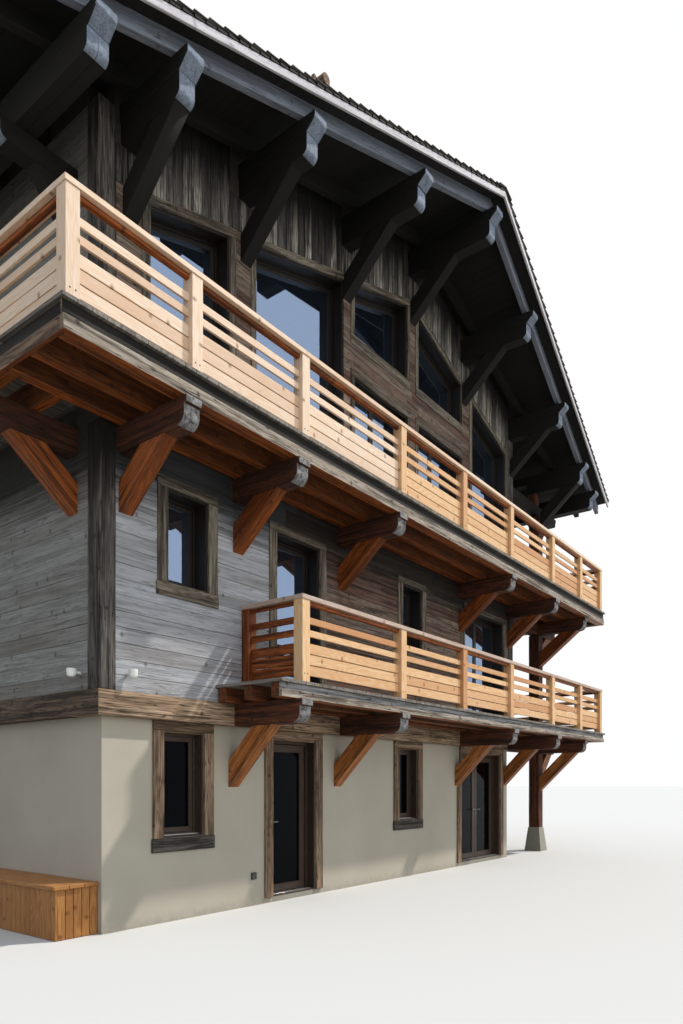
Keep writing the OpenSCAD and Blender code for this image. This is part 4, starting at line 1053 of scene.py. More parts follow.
@dataclass
class BoardField:
    """Boards or shingles set out as points and made solid by Geometry Nodes."""

    name: str
    material: Material
    slot: str
    gap: float = 0.004
    wobble: float = 0.0
    seed: int = 5
    bevel: float = 0.0
    body: str = "house"
    spots: list[Vector] = field(default_factory=list)
    sizes: list[Vector] = field(default_factory=list)
    turns: list[Vector] = field(default_factory=list)

    def add(self, centre: Sequence[float], size: Sequence[float],
            turn: Sequence[float] = (0, 0, 0)) -> None:
        """Set out one board: its middle, its length, width and thickness, and its turn."""
        self.spots.append(Vector(centre))
        self.sizes.append(Vector(size))
        self.turns.append(Vector(turn))

    def tree(self) -> NodeTree:
        """Build the node tree that turns each point into a board.

        Returns:
            The tree, with inputs for the gap, the unevenness, the seed and the material.
        """
        tree = bpy.data.node_groups.new(self.name + "_tree", "GeometryNodeTree")
        face = tree.interface
        face.new_socket("Geometry", in_out="INPUT", socket_type="NodeSocketGeometry")
        for label, value, kind in (("Board Gap", self.gap, "NodeSocketFloat"),
                                   ("Unevenness", self.wobble, "NodeSocketFloat"),
                                   ("Seed", self.seed, "NodeSocketInt"),
                                   ("Board Finish", self.material, "NodeSocketMaterial")):
            face.new_socket(label, in_out="INPUT", socket_type=kind).default_value = value
        face.new_socket("Geometry", in_out="OUTPUT", socket_type="NodeSocketGeometry")
        add = partial(add_node, tree)
        start = add("NodeGroupInput")
        seed, gap = start.outputs["Seed"], start.outputs["Board Gap"]
        read = {name: add("GeometryNodeInputNamedAttribute", {"Name": name},
                          data_type="FLOAT_VECTOR")
                for name in ("size", "turn", "real", "local", "shift")}
        # Each board: its joints taken off, a little thinner by chance, its own grain and tone
        jitter = add("FunctionNodeRandomValue", {"Seed": seed}, data_type="FLOAT")
        bulge = add("ShaderNodeMath", {0: jitter, 1: start.outputs["Unevenness"]},
                    operation="MULTIPLY")
        thick = add("ShaderNodeCombineXYZ", {2: bulge})
        slim = add("ShaderNodeCombineXYZ", {0: gap, 1: gap})
        less = add("ShaderNodeVectorMath", {0: read["size"], 1: slim}, operation="SUBTRACT")
        real = add("ShaderNodeVectorMath", {0: less, 1: thick}, operation="SUBTRACT")
        shift = add("FunctionNodeRandomValue", {"Max": (40.0, 40.0, 40.0), "Seed": seed},
                    data_type="FLOAT_VECTOR")
        shade = add("FunctionNodeRandomValue", {"Seed": seed}, data_type="FLOAT")
        held = start.outputs["Geometry"]
        for label, kind, value in (("real", "FLOAT_VECTOR", real), ("shift", "FLOAT_VECTOR", shift),
                                   (TONE, "FLOAT", shade)):
            held = add("GeometryNodeStoreNamedAttribute", {
                "Geometry": held, "Name": label, "Value": value}, data_type=kind, domain="POINT")
        cube = add("GeometryNodeMeshCube", {"Size": (1.0, 1.0, 1.0)})
        spot = add("GeometryNodeInputPosition")
        local = add("GeometryNodeStoreNamedAttribute", {"Geometry": cube, "Name": "local",
            "Value": spot}, data_type="FLOAT_VECTOR", domain="POINT")
        way = add("FunctionNodeEulerToRotation", {0: read["turn"]})
        boards = add("GeometryNodeInstanceOnPoints", {
            "Points": held, "Instance": local, "Rotation": way, "Scale": read["real"]})
        solid = add("GeometryNodeRealizeInstances", {"Geometry": boards})
        metres = add("ShaderNodeVectorMath", {
            0: read["local"], 1: read["real"], 2: read["shift"]}, operation="MULTIPLY_ADD")
        grained = add("GeometryNodeStoreNamedAttribute", {"Geometry": solid, "Name": GRAIN,
            "Value": metres}, data_type="FLOAT_VECTOR", domain="POINT")
        done = add("GeometryNodeSetMaterial", {
            "Geometry": grained, "Material": start.outputs["Board Finish"]})
        add("NodeGroupOutput", {"Geometry": done})
        return tree

    def build(self, *nodes: str) -> Object:
        """Make the boards.

        Args:
            nodes: Nodes of the frame that the boards stand for.

        Returns:
            The boards as one plain mesh.
        """
        mesh = bpy.data.meshes.new(self.name)
        mesh.from_pydata(self.spots, [], [])
        for label, values in (("size", self.sizes), ("turn", self.turns)):
            layer = mesh.attributes.new(label, "FLOAT_VECTOR", "POINT")
            layer.data.foreach_set("vector", [c for v in values for c in v])
        obj = link(mesh, self.name)
        tree = self.tree()
        mod = obj.modifiers.new("boards", "NODES")
        mod.node_group = tree
        wanted = {"Board Gap": self.gap, "Unevenness": self.wobble, "Seed": self.seed,
                  "Board Finish": self.material}
        for item in tree.interface.items_tree:
            if item.item_type == "SOCKET" and item.in_out == "INPUT" and item.name in wanted:
                mod[item.identifier] = wanted[item.name]
        settle(obj)
        if not obj.data.materials:
            obj.data.materials.append(self.material)
        if self.bevel:
            chamfer(obj, self.bevel)
        adopt(obj, self.body, self.slot, *nodes)
        return obj


# Slots of the finishes that aren't named after their slot
SLOT_OF = {"clear_glazing": "window_glass", "wall_core": "weathered_planks"}


@dataclass
class Kit:
    """What every sub-assembly is given: the frame's solids, the plan and the finishes."""

    nodes: dict[str, Object]
    plan: Plan
    palette: Palette

    def repaint(self, name: str, finish: str) -> None:
        """Give a node that stays as it is its finish.

        Args:
            name: The node.
            finish: The finish's name, which is also its slot's.
        """
        mesh = self.nodes[name].data
        mesh.materials.clear()
        mesh.materials.append(self.palette[finish])
        SLOT_OF.get(finish, finish)
        LOG.info("%s stays and is finished as %s", name, finish)

    def mats(self, *names: str) -> list[Material]:
        """Return several finishes."""
        return [self.palette[n] for n in names]

    def copy(self, name: str, finishes: Sequence[str], slot: str, **settings) -> Object:
        """Dress one node as a copy with grain along its members."""
        return Member(name, self.mats(*finishes), slot, **settings).build(self.nodes[name])


def clip(outline: Sequence[Point], a: float, b: float, c: float) -> list[Point]:
    """Keep the part of a convex outline where a*x + b*z <= c.

    Args:
        outline: Corners in order.
        a: Factor of x.
        b: Factor of z.
        c: Limit.

    Returns:
        The corners that are left, fewer than three if nothing is.
    """
    kept: list[Point] = []
    for i, p in enumerate(outline):
        q = outline[(i + 1) % len(outline)]
        dp, dq = a * p[0] + b * p[1] - c, a * q[0] + b * q[1] - c
        if dp <= 0:
            kept.append(p)
        if (dp < 0 < dq) or (dq < 0 < dp):
            t = dp / (dp - dq)
            kept.append((p[0] + (q[0] - p[0]) * t, p[1] + (q[1] - p[1]) * t))
    return kept


def free_spans(low: float, high: float, blocks: Iterable[Point]) -> list[Point]:
    """Return what is left of a span once some blocks are taken out of it."""
    spans = [(low, high)]
    for b0, b1 in blocks:
        rest: list[Point] = []
        for s0, s1 in spans:
            if b1 <= s0 or b0 >= s1:
                rest.append((s0, s1))
                continue
            if b0 > s0:
                rest.append((s0, b0))
            if b1 < s1:
                rest.append((b1, s1))
        spans = rest
    return [s for s in spans if s[1] - s[0] > 0.03]


@dataclass
class Cladding:
    """Level boards on a wall's face, cut round its openings."""

    facing: Facing
    face: float
    skin: float = 0.018
    course: float = 0.172
    seed: int = 1

    def lay(self, boards: BoardField, low: float, high: float, x0: float, x1: float,
            openings: Sequence[Opening], other: BoardField | None = None,
            turn: float = 0.0) -> None:
        """Set out the boards of one field.

        Args:
            boards: The field that gets them.
            low: Foot of the boards.
            high: Top of the boards.
            x0: Start along the wall, in the wall's own frame.
            x1: End along the wall.
            openings: Openings to leave free.
            other: Field that gets the boards past a line, if there is one.
            turn: Where about that line lies.
        """
        rng = random.Random(self.seed)
        frame = self.facing.frame(self.face)
        rows = max(1, round((high - low) / self.course))
        step = (high - low) / rows

        def row(a: float, b: float, z0: float, z1: float) -> None:
            """Lay one course's boards, and change their finish where it turns."""
            here = turn + rng.uniform(-0.5, 0.5) if other else b
            if a < here < b and min(here - a, b - here) > 0.25:
                self._run(boards, rng, frame, a, here, z0, z1)
                self._run(other, rng, frame, here, b, z0, z1)
            else:
                whole = other if other and (a + b) / 2 > here else boards
                self._run(whole, rng, frame, a, b, z0, z1)

        for i in range(rows):
            z0, z1 = low + i * step, low + (i + 1) * step
            wide = [o for o in openings if o.sill < z1 - 0.01 and o.head > z0 + 0.01]
            for a, b in free_spans(x0, x1, [(o.left, o.right) for o in wide]):
                row(a, b, z0, z1)
            for o in wide:
                for c, d in free_spans(z0, z1, [(o.sill, o.head)]):
                    row(o.left, o.right, c, d)

    def _run(self, boards: BoardField, rng: random.Random, frame: Matrix, a: float, b: float,
             z0: float, z1: float) -> None:
        """Lay one row between two stops, butted at odd places."""
        at = a
        while at < b - 0.01:
            end = b if b - at < 3.2 else min(b, at + rng.uniform(1.5, 3.4))
            if b - end < 0.5:
                end = b
            centre = frame @ Vector(((at + end) / 2, -self.skin / 2, (z0 + z1) / 2))
            boards.add(centre, (end - at, self.skin, z1 - z0),
                       (0.0, 0.0, math.radians(self.facing.value)))
            at = end


@dataclass
class Masonry:
    """Rendered ground storey, its lintels, floors and piers."""

    kit: Kit

    def dress(self) -> None:
        """Finish the nodes that stay as the frame has them."""
        for finish, names in (
                ("render", ("ground_front_wall_left", "ground_front_wall_middle",
                            "ground_front_wall_right", "door_lintels", "ground_side_walls",
                            "ground_back_wall")),
                ("concrete", ("ground_floor", "post_piers")),
                ("floor_timber", ("first_floor", "second_floor"))):
            for name in names:
                self.kit.repaint(name, finish)


@dataclass
class TimberWalls:
    """Timber storeys: cores that stay, with cladding boards, posts and the ring beam on them."""

    kit: Kit
    clad: float = 0.018
    post: float = 0.18
    joint: float = 0.002
    course: float = 0.165

    def build(self) -> None:
        """Clad the four sides and dress the ring beam and corner posts."""
        kit, p = self.kit, self.kit.plan
        for name in ("middle_front_wall", "gable_front_wall", "back_timber_wall",
                "timber_side_walls"):
            kit.repaint(name, "wall_core")
        kit.copy("log_ring", ("ring_timber", "beam_ring"), "dark_beams", rule=self._ring_grain,
                 hewn=0.006, bevel=0.012)
        kit.copy("corner_posts", ("post_timber",), "dark_beams", hewn=0.004, bevel=0.01,
            rule=upright)
        x0, x1 = p.xlt + self.post, p.xgt - self.post
        front = self._boards("middle_front", "sunned_planks", 11)
        lee = self._boards("middle_front_lee", "brown_planks", 11)
        Cladding(Facing.FRONT, -p.yft, seed=4).lay(front, p.ring_z, p.beam_z + 0.1, x0, x1,
                                                   p.front_middle(), lee, p.columns[1])
        front.build()
        lee.build()
        back = self._boards("back", "rear_planks", 12)
        wall = Cladding(Facing.BACK, -p.yft, seed=5)
        mirrored = [o.mirrored() for o in p.back_timber()]
        wall.lay(back, p.ring_z, p.upper_z, -x1, -x0, mirrored)
        wall.lay(back, p.upper_z, p.under(p.xlt) - 0.05, -x1, -x0, mirrored)
        back.build()
        edge = -p.yft - self.post
        for facing, face, top, name in ((Facing.LEFT, -p.xlt, p.under(p.xlt) - 0.02, "left"),
                                        (Facing.RIGHT, p.xgt, p.under(4.145) - 0.2, "right")):
            side = self._boards(name, "weathered_planks", 13)
            wall = Cladding(facing, face, seed=6)
            wall.lay(side, p.ring_z, p.beam_z, -edge, edge, p.side_timber())
            wall.lay(side, p.upper_z, top, -edge, edge, p.side_timber())
            side.build()
        self._gable("cladding_gable_front", Facing.FRONT, p.front_gable(), 21)
        self._gable("cladding_gable_back", Facing.BACK, [], 22, p.under(p.xlt) - 0.05)

    def _boards(self, wall: str, finish: str, seed: int) -> BoardField:
        """Return an empty field of cladding boards for one wall."""
        return BoardField("cladding_" + wall, self.kit.palette[finish], "weathered_planks",
            gap=0.003, wobble=0.006, seed=seed, bevel=0.003)

    def _ring_grain(self, centre: Vector, normal: Vector) -> tuple[Vector, int]:
        """Return the grain on the ring beam: along each wall, and 1, the finish with painted shade,
        for its sides.
        """
        p = self.kit.plan
        corner = centre.x < p.xl + 0.4 or centre.x > p.xg - 0.4
        side = abs(normal.x) > 0.7 or (abs(normal.y) < 0.7 and corner)
        return (AXES["Y"], 1) if side else (AXES["X"], 0)

    def _gable(self, name: str, facing: Facing, openings: Sequence[Opening], seed: int,
               foot: float | None = None) -> None:
        """Board a gable: level boards below the line of the heads, upright ones above it."""
        p = self.kit.plan
        timber = Timber(name, seed)
        frame = facing.frame(-p.yft) @ Matrix.Translation((0.0, -self.clad, 0.0))
        line = p.drop - 0.115
        flip = 1 if facing is Facing.FRONT else -1
        lo, hi = sorted((flip * (p.xlt + 0.19), flip * (p.xgt - 0.19)))
        z = p.upper_z
        while not foot and z < p.under(0) - line:
            self._level(timber, frame, openings, lo, hi, z, line)
            z += self.course
        x = lo
        while x < hi - 0.01:
            nxt = min(hi, x + timber.rng.uniform(0.12, 0.17))
            for a, b in free_spans(x, nxt, [(-0.001, 0.001)] if x < 0 < nxt else []) or [(x, nxt)]:
                if b - a < 0.02:
                    continue
                lows = [foot or p.under(v) - line + 0.004 for v in (a, b)]
                tops = [p.roof(v) - p.cover - 0.01 for v in (a, b)]
                a, b = a + 0.0015, b - 0.0015
                self._notched(timber, frame,
                              [(a, lows[0]), (b, lows[1]), (b, tops[1]), (a, tops[0])], flip)
            x = nxt
        adopt(timber.build(self.kit.mats("brown_planks", "gable_planks"), 0.003), "house",
              "weathered_planks")

    def _level(self, timber: Timber, frame: Matrix, openings: Sequence[Opening], lo: float,
            hi: float, z: float, line: float) -> None:
        """Lay one course of level boards from lo to hi at height z, between the openings."""
        z1 = z + self.course
        endless = 99.0
        blocks = [o for o in openings if o.sill < z1 and o.top_at((o.left + o.right) / 2) + 0.3 > z]
        pieces = [(a, b, z, z1) for a, b in free_spans(lo, hi, [(o.left, o.right) for o in blocks])]
        for o in blocks:
            # A raked head has upright boards above it, a level one level boards up to the next sill
            pieces += [(o.left, o.right, c, d)
                       for c, d in free_spans(z, z1, [(o.sill, endless if o.slope else o.head)])
                       if not any(q is not o and q.left == o.left and q.sill < d and
                                  (endless if q.slope else q.head) > c for q in openings)]
        j = self.joint
        for at, b, c, d in pieces:
            while at < b - 0.01:
                end = b if b - at < 2.6 else at + timber.rng.uniform(1.0, 2.4)
                self._piece(timber, frame, [(at + j, c + j), (end - j, c + j), (end - j, d - j),
                                            (at + j, d - j)], line)
                at = end

    def _piece(self, timber: Timber, frame: Matrix, outline: list[Point], line: float) -> None:
        """Add a level board, cut off along the line of the window heads."""
        p = self.kit.plan
        top = p.under(0) - line
        for s in (-1, 1):
            outline = clip(outline, s * p.pitch, 1.0, top) if len(outline) > 2 else outline
        if len(outline) > 2 and max(x for x, _ in outline) - min(x for x, _ in outline) > 0.04:
            timber.prism(outline, self.clad - timber.rng.uniform(0, 0.005), frame)

    def _notched(self, timber: Timber, frame: Matrix, outline: list[Point], flip: int) -> None:
        """Add an upright board that stops under a purlin's corbel where there is one."""
        p = self.kit.plan
        a, b = outline[0][0], outline[1][0]
        for x in (0.0, *(s * x for x in p.purlins for s in (1, -1))):
            if b > flip * x - 0.118 and a < flip * x + 0.118:
                top = p.under(abs(x) + 0.115) - 0.19 - 0.24 - 0.003
                outline = [outline[0], outline[1], (b - 0.0015, top), (a + 0.0015, top)]
                if top < outline[0][1] + 0.05:
                    return
        timber.prism(outline, self.clad - timber.rng.uniform(0, 0.004), frame, AXES["Z"], 1)


@dataclass
class Roof:
    """Shingles, soffit boards, rafters, purlins, verge boards and snow guards."""

    kit: Kit
    courses: int = 40
    soffit_rows: int = 54
    length: float = 0.33
    thick: float = 0.010
    seed: int = 31

    def build(self) -> None:
        """Cover both slopes and dress the timbers under them."""
        for side, name in ((-1, "left"), (1, "right")):
            self._shingles(side, name)
            self._soffit(side, name)
        self._ridge()
        kit = self.kit
        kit.copy("rafters", ("dark_beams",), "dark_beams", bevel=0.006)
        tip = kit.plan.half_d + 0.6
        kit.copy("purlins", ("dark_beams", "beam_ends"), "dark_beams", hewn=0.004, bevel=0.01,
                 rule=lambda c, n: (AXES["Y"], int(abs(n.y) > 0.35 and abs(c.y) > tip)))
        # The outer verge board's faces take the pale finish, partly painted sunlight
        kit.copy("verge_boards", ("silver_boards", "pale_verge"), "grey_boards", bevel=0.004,
                 rule=lambda c, n: (None, int(abs(c.y) > kit.plan.verge(c.x) - 0.15)))
        kit.copy("snow_guards", ("surround_boards",), "grey_boards", bevel=0.004)
        self._brackets("purlin_brackets", 0.88, 0.80, lambda x: self._seat(x) - 0.24, True)
        self._brackets("eaves_consoles", 0.495, 0.569, lambda x: self._seat(6.75) - 0.42)

    def _shingles(self, side: int, name: str) -> None:
        """Set out one slope's courses of split shingles."""
        p = self.kit.plan
        rng = random.Random(self.seed + side)
        courses = BoardField("shingles_" + name, self.kit.palette["roof_shingles"], "roof_shingles",
                             wobble=0.004, seed=41 + side)
        slope = math.atan(p.pitch)
        cos, sin = math.cos(slope), math.sin(slope)
        # Each course lies on the one below, so it lies a little flatter than the roof
        lean = 0.0172 / self.length
        span = p.eave / cos
        step = (span - 0.12) / self.courses
        for i in range(self.courses):
            tail = span - i * step - 0.0045
            mid = tail - self.length / 2 + 0.002
            y_end = p.verge(tail * cos)
            y = -y_end
            while y < y_end - 0.02:
                w = rng.uniform(0.11, 0.24)
                if y + w > y_end - 0.05:
                    w = y_end - y
                u = mid - rng.uniform(0.0, 0.010)
                n = -0.0175 - rng.uniform(0.0, 0.002)
                x = u * cos + n * sin
                z = p.ridge_z - u * sin + n * cos
                courses.add((side * x, y + w / 2, z), (self.length, w, self.thick),
                            (0.0, side * (slope - lean), 0.0))
                y += w
        courses.build("roof_" + name)

    def _soffit(self, side: int, name: str) -> None:
        """Set out the boards under the shingles, which show between the rafters."""
        p = self.kit.plan
        rng = random.Random(self.seed + 7 * side)
        boards = BoardField("soffit_" + name, self.kit.palette["soffit"], "dark_beams", gap=0.003,
                            seed=47 + side)
        slope = math.atan(p.pitch)
        cos, sin = math.cos(slope), math.sin(slope)
        span = p.eave / cos
        width = (span - 0.03) / self.soffit_rows
        low = -p.cover * cos + 0.012
        for i in range(self.soffit_rows):
            u = 0.015 + (i + 0.5) * width
            x = u * cos + low * sin
            end = p.verge((u + width / 2) * cos) - 0.012
            y = -end
            while y < end - 0.01:
                stop = end if end - y < 5.5 else y + rng.uniform(2.5, 5.0)
                z = p.ridge_z - u * sin + low * cos
                boards.add((side * x, (y + stop) / 2, z), (stop - y, width, 0.022),
                           (side * slope, 0.0, QUARTER))
                y = stop
        boards.build()

    def _ridge(self) -> None:
        """Lay two overlapping boards along the ridge."""
        p = self.kit.plan
        timber = Timber("ridge_boards", 33)
        end = p.verge(0) - 0.01
        for side in (-1, 1):
            y = -end
            while y < end - 0.01:
                stop = end if end - y < 5 else y + timber.rng.uniform(3.0, 4.5)
                x0, x1 = 0.001, 0.21
                outline = [(side * x, p.roof(x) - down)
                           for x, down in ((x0, 0.024), (x0, 0.002), (x1, 0.002), (x1, 0.024))]
                timber.prism(outline, stop - y - 0.004, Matrix.Translation((0, y, 0)), AXES["Y"])
                y = stop
        adopt(timber.build(self.kit.mats("roof_shingles"), 0.003), "house", "roof_shingles")

    def _seat(self, x: float) -> float:
        """Return the height of a purlin's underside."""
        return self.kit.plan.under(abs(x) + 0.115) - 0.1906

    def _brackets(self, name: str, run: float, drop: float, low: Callable[[float], float],
                  endways: bool = False) -> None:
        """Dress brackets: dark beams with weathered noses over salvaged struts."""
        self.kit.copy(name, ("dark_beams", "dark_beams", "beam_ends", "dark_beams"), "dark_beams",
            bevel=0.006, rule=BracketGrain(self.kit.plan, run, drop, low, endways=endways))


@dataclass
class BracketGrain:
    """Tells a bracket's beam, strut and nose apart by where a face lies and looks."""

    plan: Plan
    run: float
    drop: float
    low: Callable[[float], float]
    reach: float = 0.6
    endways: bool = False

    def __call__(self, centre: Vector, normal: Vector) -> tuple[Vector, int]:
        """Return the grain and the material's number of a face.

        Args:
            centre: The face's middle.
            normal: The face's direction.

        Returns:
            Direction of the grain, and 0 for a beam, 1 for a strut's edge, 2 for a nose and 3
            for a strut's side.
        """
        ends = self.endways or (abs(centre.y) > self.plan.half_d and abs(centre.x) < 6.05)
        out = Vector((0, math.copysign(1, centre.y), 0) if ends
                     else (math.copysign(1, centre.x), 0, 0))
        if centre.z < self.low(centre.x) - 0.012:
            lean = (Vector((0, 0, self.drop)) + out * self.run).normalized()
            return lean, 1 if abs(normal.dot(out)) > 0.2 else 3
        reach = centre.dot(out) - (self.plan.half_d if ends else self.plan.half_w)
        if normal.dot(out) > 0.15 and reach > self.reach:
            return out, 2
        return out, 0


@dataclass
class Balconies:
    """Decks, joists, fascias, brackets, posts and larch railings of both balconies."""

    kit: Kit
    rail: float = 1.05
    cap: float = 0.055
    cap_w: float = 0.16
    post: float = 0.14
    slat: float = 0.028
    plank_t: float = 0.04
    # Lines of the front's posts, as parts of the house's width
    lines: tuple[float, ...] = (0.0296, 0.1686, 0.347, 0.5008, 0.6521, 0.8199, 0.9572)

    def build(self) -> None:
        """Build both balconies."""
        kit = self.kit
        kit.copy("balcony_joists", ("stained_larch", "aged_larch"), "stained_larch", bevel=0.004,
                 rule=self._joist_grain)
        kit.copy("balcony_fascias", ("fascia_boards", "post_timber", "stained_larch", "grey_boards",
            "surround_boards"), "grey_boards", bevel=0.004, hewn=0.003, step=0.35,
            rule=self._fascia_grain)
        self._brackets("lower_brackets", 0.74, 0.76)
        self._brackets("upper_brackets", 0.76, 0.64)
        kit.copy("gallery_posts", ("beam_larch",), "stained_larch", hewn=0.003, bevel=0.012,
            rule=upright)
        self._decks()
        p = kit.plan
        self._railing("lower_railing", p.lower_z, p.edge_lower + 0.49, False)
        self._railing("upper_railing", p.upper_z, p.edge_left + 0.12, True)

    def _fascia_grain(self, centre: Vector, normal: Vector) -> tuple[Vector, int]:
        """Return the grain along each fascia and the finish of its lower or upper board, with
        painted shade on the undersides and on the left side's lower board.
        """
        p = self.kit.plan
        side = abs(centre.x) > 6.9 and abs(centre.y) < 6.55
        low, h = (p.ring_z, 0.17) if centre.z < 4 else (p.beam_z, 0.26)
        upper = centre.z > low + h * 0.52 + 0.002
        way = AXES["Y"] if side else AXES["X"]
        # Painted shade: undersides take the warm orange shade finish
        if normal.z < -0.7:
            return way, 2
        # Painted shade: the left side's lower board, which faces away from the sun, takes the
        # browner surround finish
        if centre.x < -6.9 and not upper and normal.x < -0.5:
            return way, 4
        return way, (3 if centre.z < 4 else 1) if upper else 0

    def _joist_grain(self, centre: Vector, normal: Vector) -> tuple[Vector, int]:
        """Return the grain along each joist, and 1 for its rough sides; its undersides, 0, take the
        painted warm shade.
        """
        p = self.kit.plan
        side = centre.x > p.xgt or (centre.x < p.xlt and abs(centre.y) < 5.3)
        front = centre.y < p.yft and abs(centre.y) > 5.6
        return (AXES["X"] if front or not side else AXES["Y"]), int(normal.z > -0.7)

    def _brackets(self, name: str, run: float, drop: float) -> None:
        """Dress one storey's brackets: larch struts under dark beams, with painted sunlight on the
        lower storey's struts and painted shade on the upper's.
        """
        lower = "lower" in name
        top = self.kit.plan.ring_z if lower else self.kit.plan.beam_z
        strut = "sunlit_larch" if lower else "stained_larch"
        self.kit.copy(name, ("beam_larch", strut, "grey_boards", strut), "stained_larch",
            bevel=0.007, rule=BracketGrain(self.kit.plan, run, drop, lambda x: top - 0.28))

    def _decks(self) -> None:
        """Plank both decks, with the boards' ends showing along the edges."""
        p = self.kit.plan
        boards = BoardField("deck_boards", self.kit.palette["deck_boards"], "pale_larch", gap=0.005,
                            wobble=0.003, seed=51, bevel=0.002)
        # The boards stand out over the fascias by this much
        out = 0.025
        front, back, right = p.edge_front - out, p.edge_back + out, p.edge_right + out
        for x0, z, left in ((p.edge_lower, p.lower_z, False), (p.edge_left, p.upper_z, True)):
            self._planks(boards, x0 - out, right, front, p.yft, z, False)
            self._planks(boards, p.yft + 0.002, back, p.xgt + 0.03, right, z, True)
            if left:
                self._planks(boards, p.yft + 0.002, back, x0 - out, p.xlt - 0.03, z, True)
        boards.build("balcony_decks")

    def _planks(self, boards: BoardField, a: float, b: float, c: float, d: float, z: float,
                turned: bool) -> None:
        """Set out planks side by side from a to b, each from c to d."""
        p, t = self.kit.plan, self.plank_t
        count = round((b - a) / 0.145)
        step = (b - a) / count
        for i in range(count):
            at = a + (i + 0.5) * step
            if turned:
                boards.add(((c + d) / 2, at, z - t / 2), (d - c, step, t))
                continue
            # Planks that meet a corner post stop short of it
            post = abs(at) > 3.9 and (at < p.xlt + 0.19 or abs(at - p.xgt) < 0.2)
            stop = d - 0.035 if post else d
            boards.add((at, (c + stop) / 2, z - t / 2), (stop - c, step, t), (0.0, 0.0, QUARTER))

    def _railing(self, name: str, z: float, x0: float, with_left: bool) -> None:
        """Build one balcony's railing from single posts, boards, slats and rails.

        Args:
            name: The node it stands for.
            z: Height of the deck.
            x0: Line of the left end's rail.
            with_left: Whether the balcony goes on along the left side.
        """
        p = self.kit.plan
        timber = Timber(name + "_dressed", 61 + int(z))
        cap, half = self.cap_w / 2, self.post / 2
        y, right, back = p.edge_front + 0.12, p.edge_right - 0.07, p.edge_back
        posts = [p.xl + part * 2 * p.half_w for part in self.lines]
        front = [x0, *[x for x in posts if x > x0 + 0.6], right]
        flat = Matrix.Translation((0, y, z))
        self._run(timber, flat, x0 - cap, right + cap, front, 0, -2.2 if with_left else None)
        y0 = y + cap + 0.002
        side = [y + 0.3 + i * (back - y - 0.3 - self.post) / 5 for i in range(1, 6)]
        turn = Matrix.Rotation(QUARTER, 4, "Z")
        self._run(timber, Matrix.Translation((right, 0, z)) @ turn, y0, back, side)
        end = Matrix.Translation((0, back - half, z))
        face = p.half_w - 0.02
        self._run(timber, end, face, right - cap - 0.002, [face + half])
        left = Matrix.Translation((x0, 0, z)) @ turn
        if with_left:
            self._run(timber, left, y0, back, side)
            stop = p.xlt - 0.03
            self._run(timber, end, x0 + cap + 0.002, stop, [stop - half])
        else:
            # Painted shade: the lower balcony's left end, facing away from the sun, is in the warm
            # orange shade finish
            self._run(timber, left, y0, p.yft, [p.yft - half], 2)
        mats = self.kit.mats("bleached_larch" if with_left else "pale_larch", "screw",
            "stained_larch", "pale_larch", "bleached_larch" if with_left else "rained_larch")
        adopt(timber.build(mats, 0.004), "house", "pale_larch", name)

    def _run(self, timber: Timber, frame: Matrix, a: float, b: float, posts: Sequence[float],
             slot: int = 0, turn: float | None = None) -> None:
        """Build one straight run of railing from a to b, with posts.

        Args:
            timber: The mesh that gets it.
            frame: Placement of the run.
            a: Its start.
            b: Its end.
            posts: Middles of its posts.
            slot: Number of its material.
            turn: Where material 3 takes over, if it does.
        """
        def wear(at: float) -> int:
            """Return the finish of what stands at that place."""
            return slot if turn is None or at < turn else 3

        u, cap, half, post = self.rail - self.cap, self.cap_w / 2, self.slat / 2, self.post / 2
        stops = sorted({a, b, *[x for x in posts if a + 0.2 < x < b - 0.2]})
        for x0, x1 in zip(stops[::2], stops[2::2] + [b]):
            if x1 - x0 > 0.01:
                timber.box((x0 + 0.001, -cap, u), (x1 - 0.001, cap, self.rail), frame, slot=4)
        # Two rails above and three below, by their tops and heights
        rows = [(self.rail * 0.77, 0.08), (self.rail * 0.623, 0.08)]
        rows += [(self.rail * 0.467 - i * 0.134, 0.122) for i in range(3)]
        # Rails end in the middle of the posts at the run's ends
        near = self.post * 0.75
        low = posts[0] if posts[0] - a < near else a
        high = posts[-1] if b - posts[-1] < near else b
        for x0, x1 in zip(stops, stops[1:]):
            start, end = max(x0, low) + 0.002, min(x1, high) - 0.002
            # Painted shade: the rail under the cap, whose underside is seen, is in the warm orange
            # shade finish
            timber.box((start, -self.slat, u - 0.045), (end, self.slat, u - 0.001), frame, slot=2,
                tone=0.4)
            for top, tall in rows:
                timber.box((start, -half, top - tall), (end, half, top), frame, slot=wear(x0))
        for x in posts:
            timber.box((x - post, -post, 0), (x + post, post, u - 0.001), frame, "Z", wear(x))
            for dx in (-0.028, 0.028):
                screw = [(x + dx + 0.009 * math.cos(t), 0.11 + 0.009 * math.sin(t))
                         for t in (k * math.pi / 4 for k in range(8))]
                for s in (-1, 1):
                    face = frame @ Matrix.Translation((0, s * post - 0.003, 0))
                    timber.prism(screw, 0.006, face, slot=1)


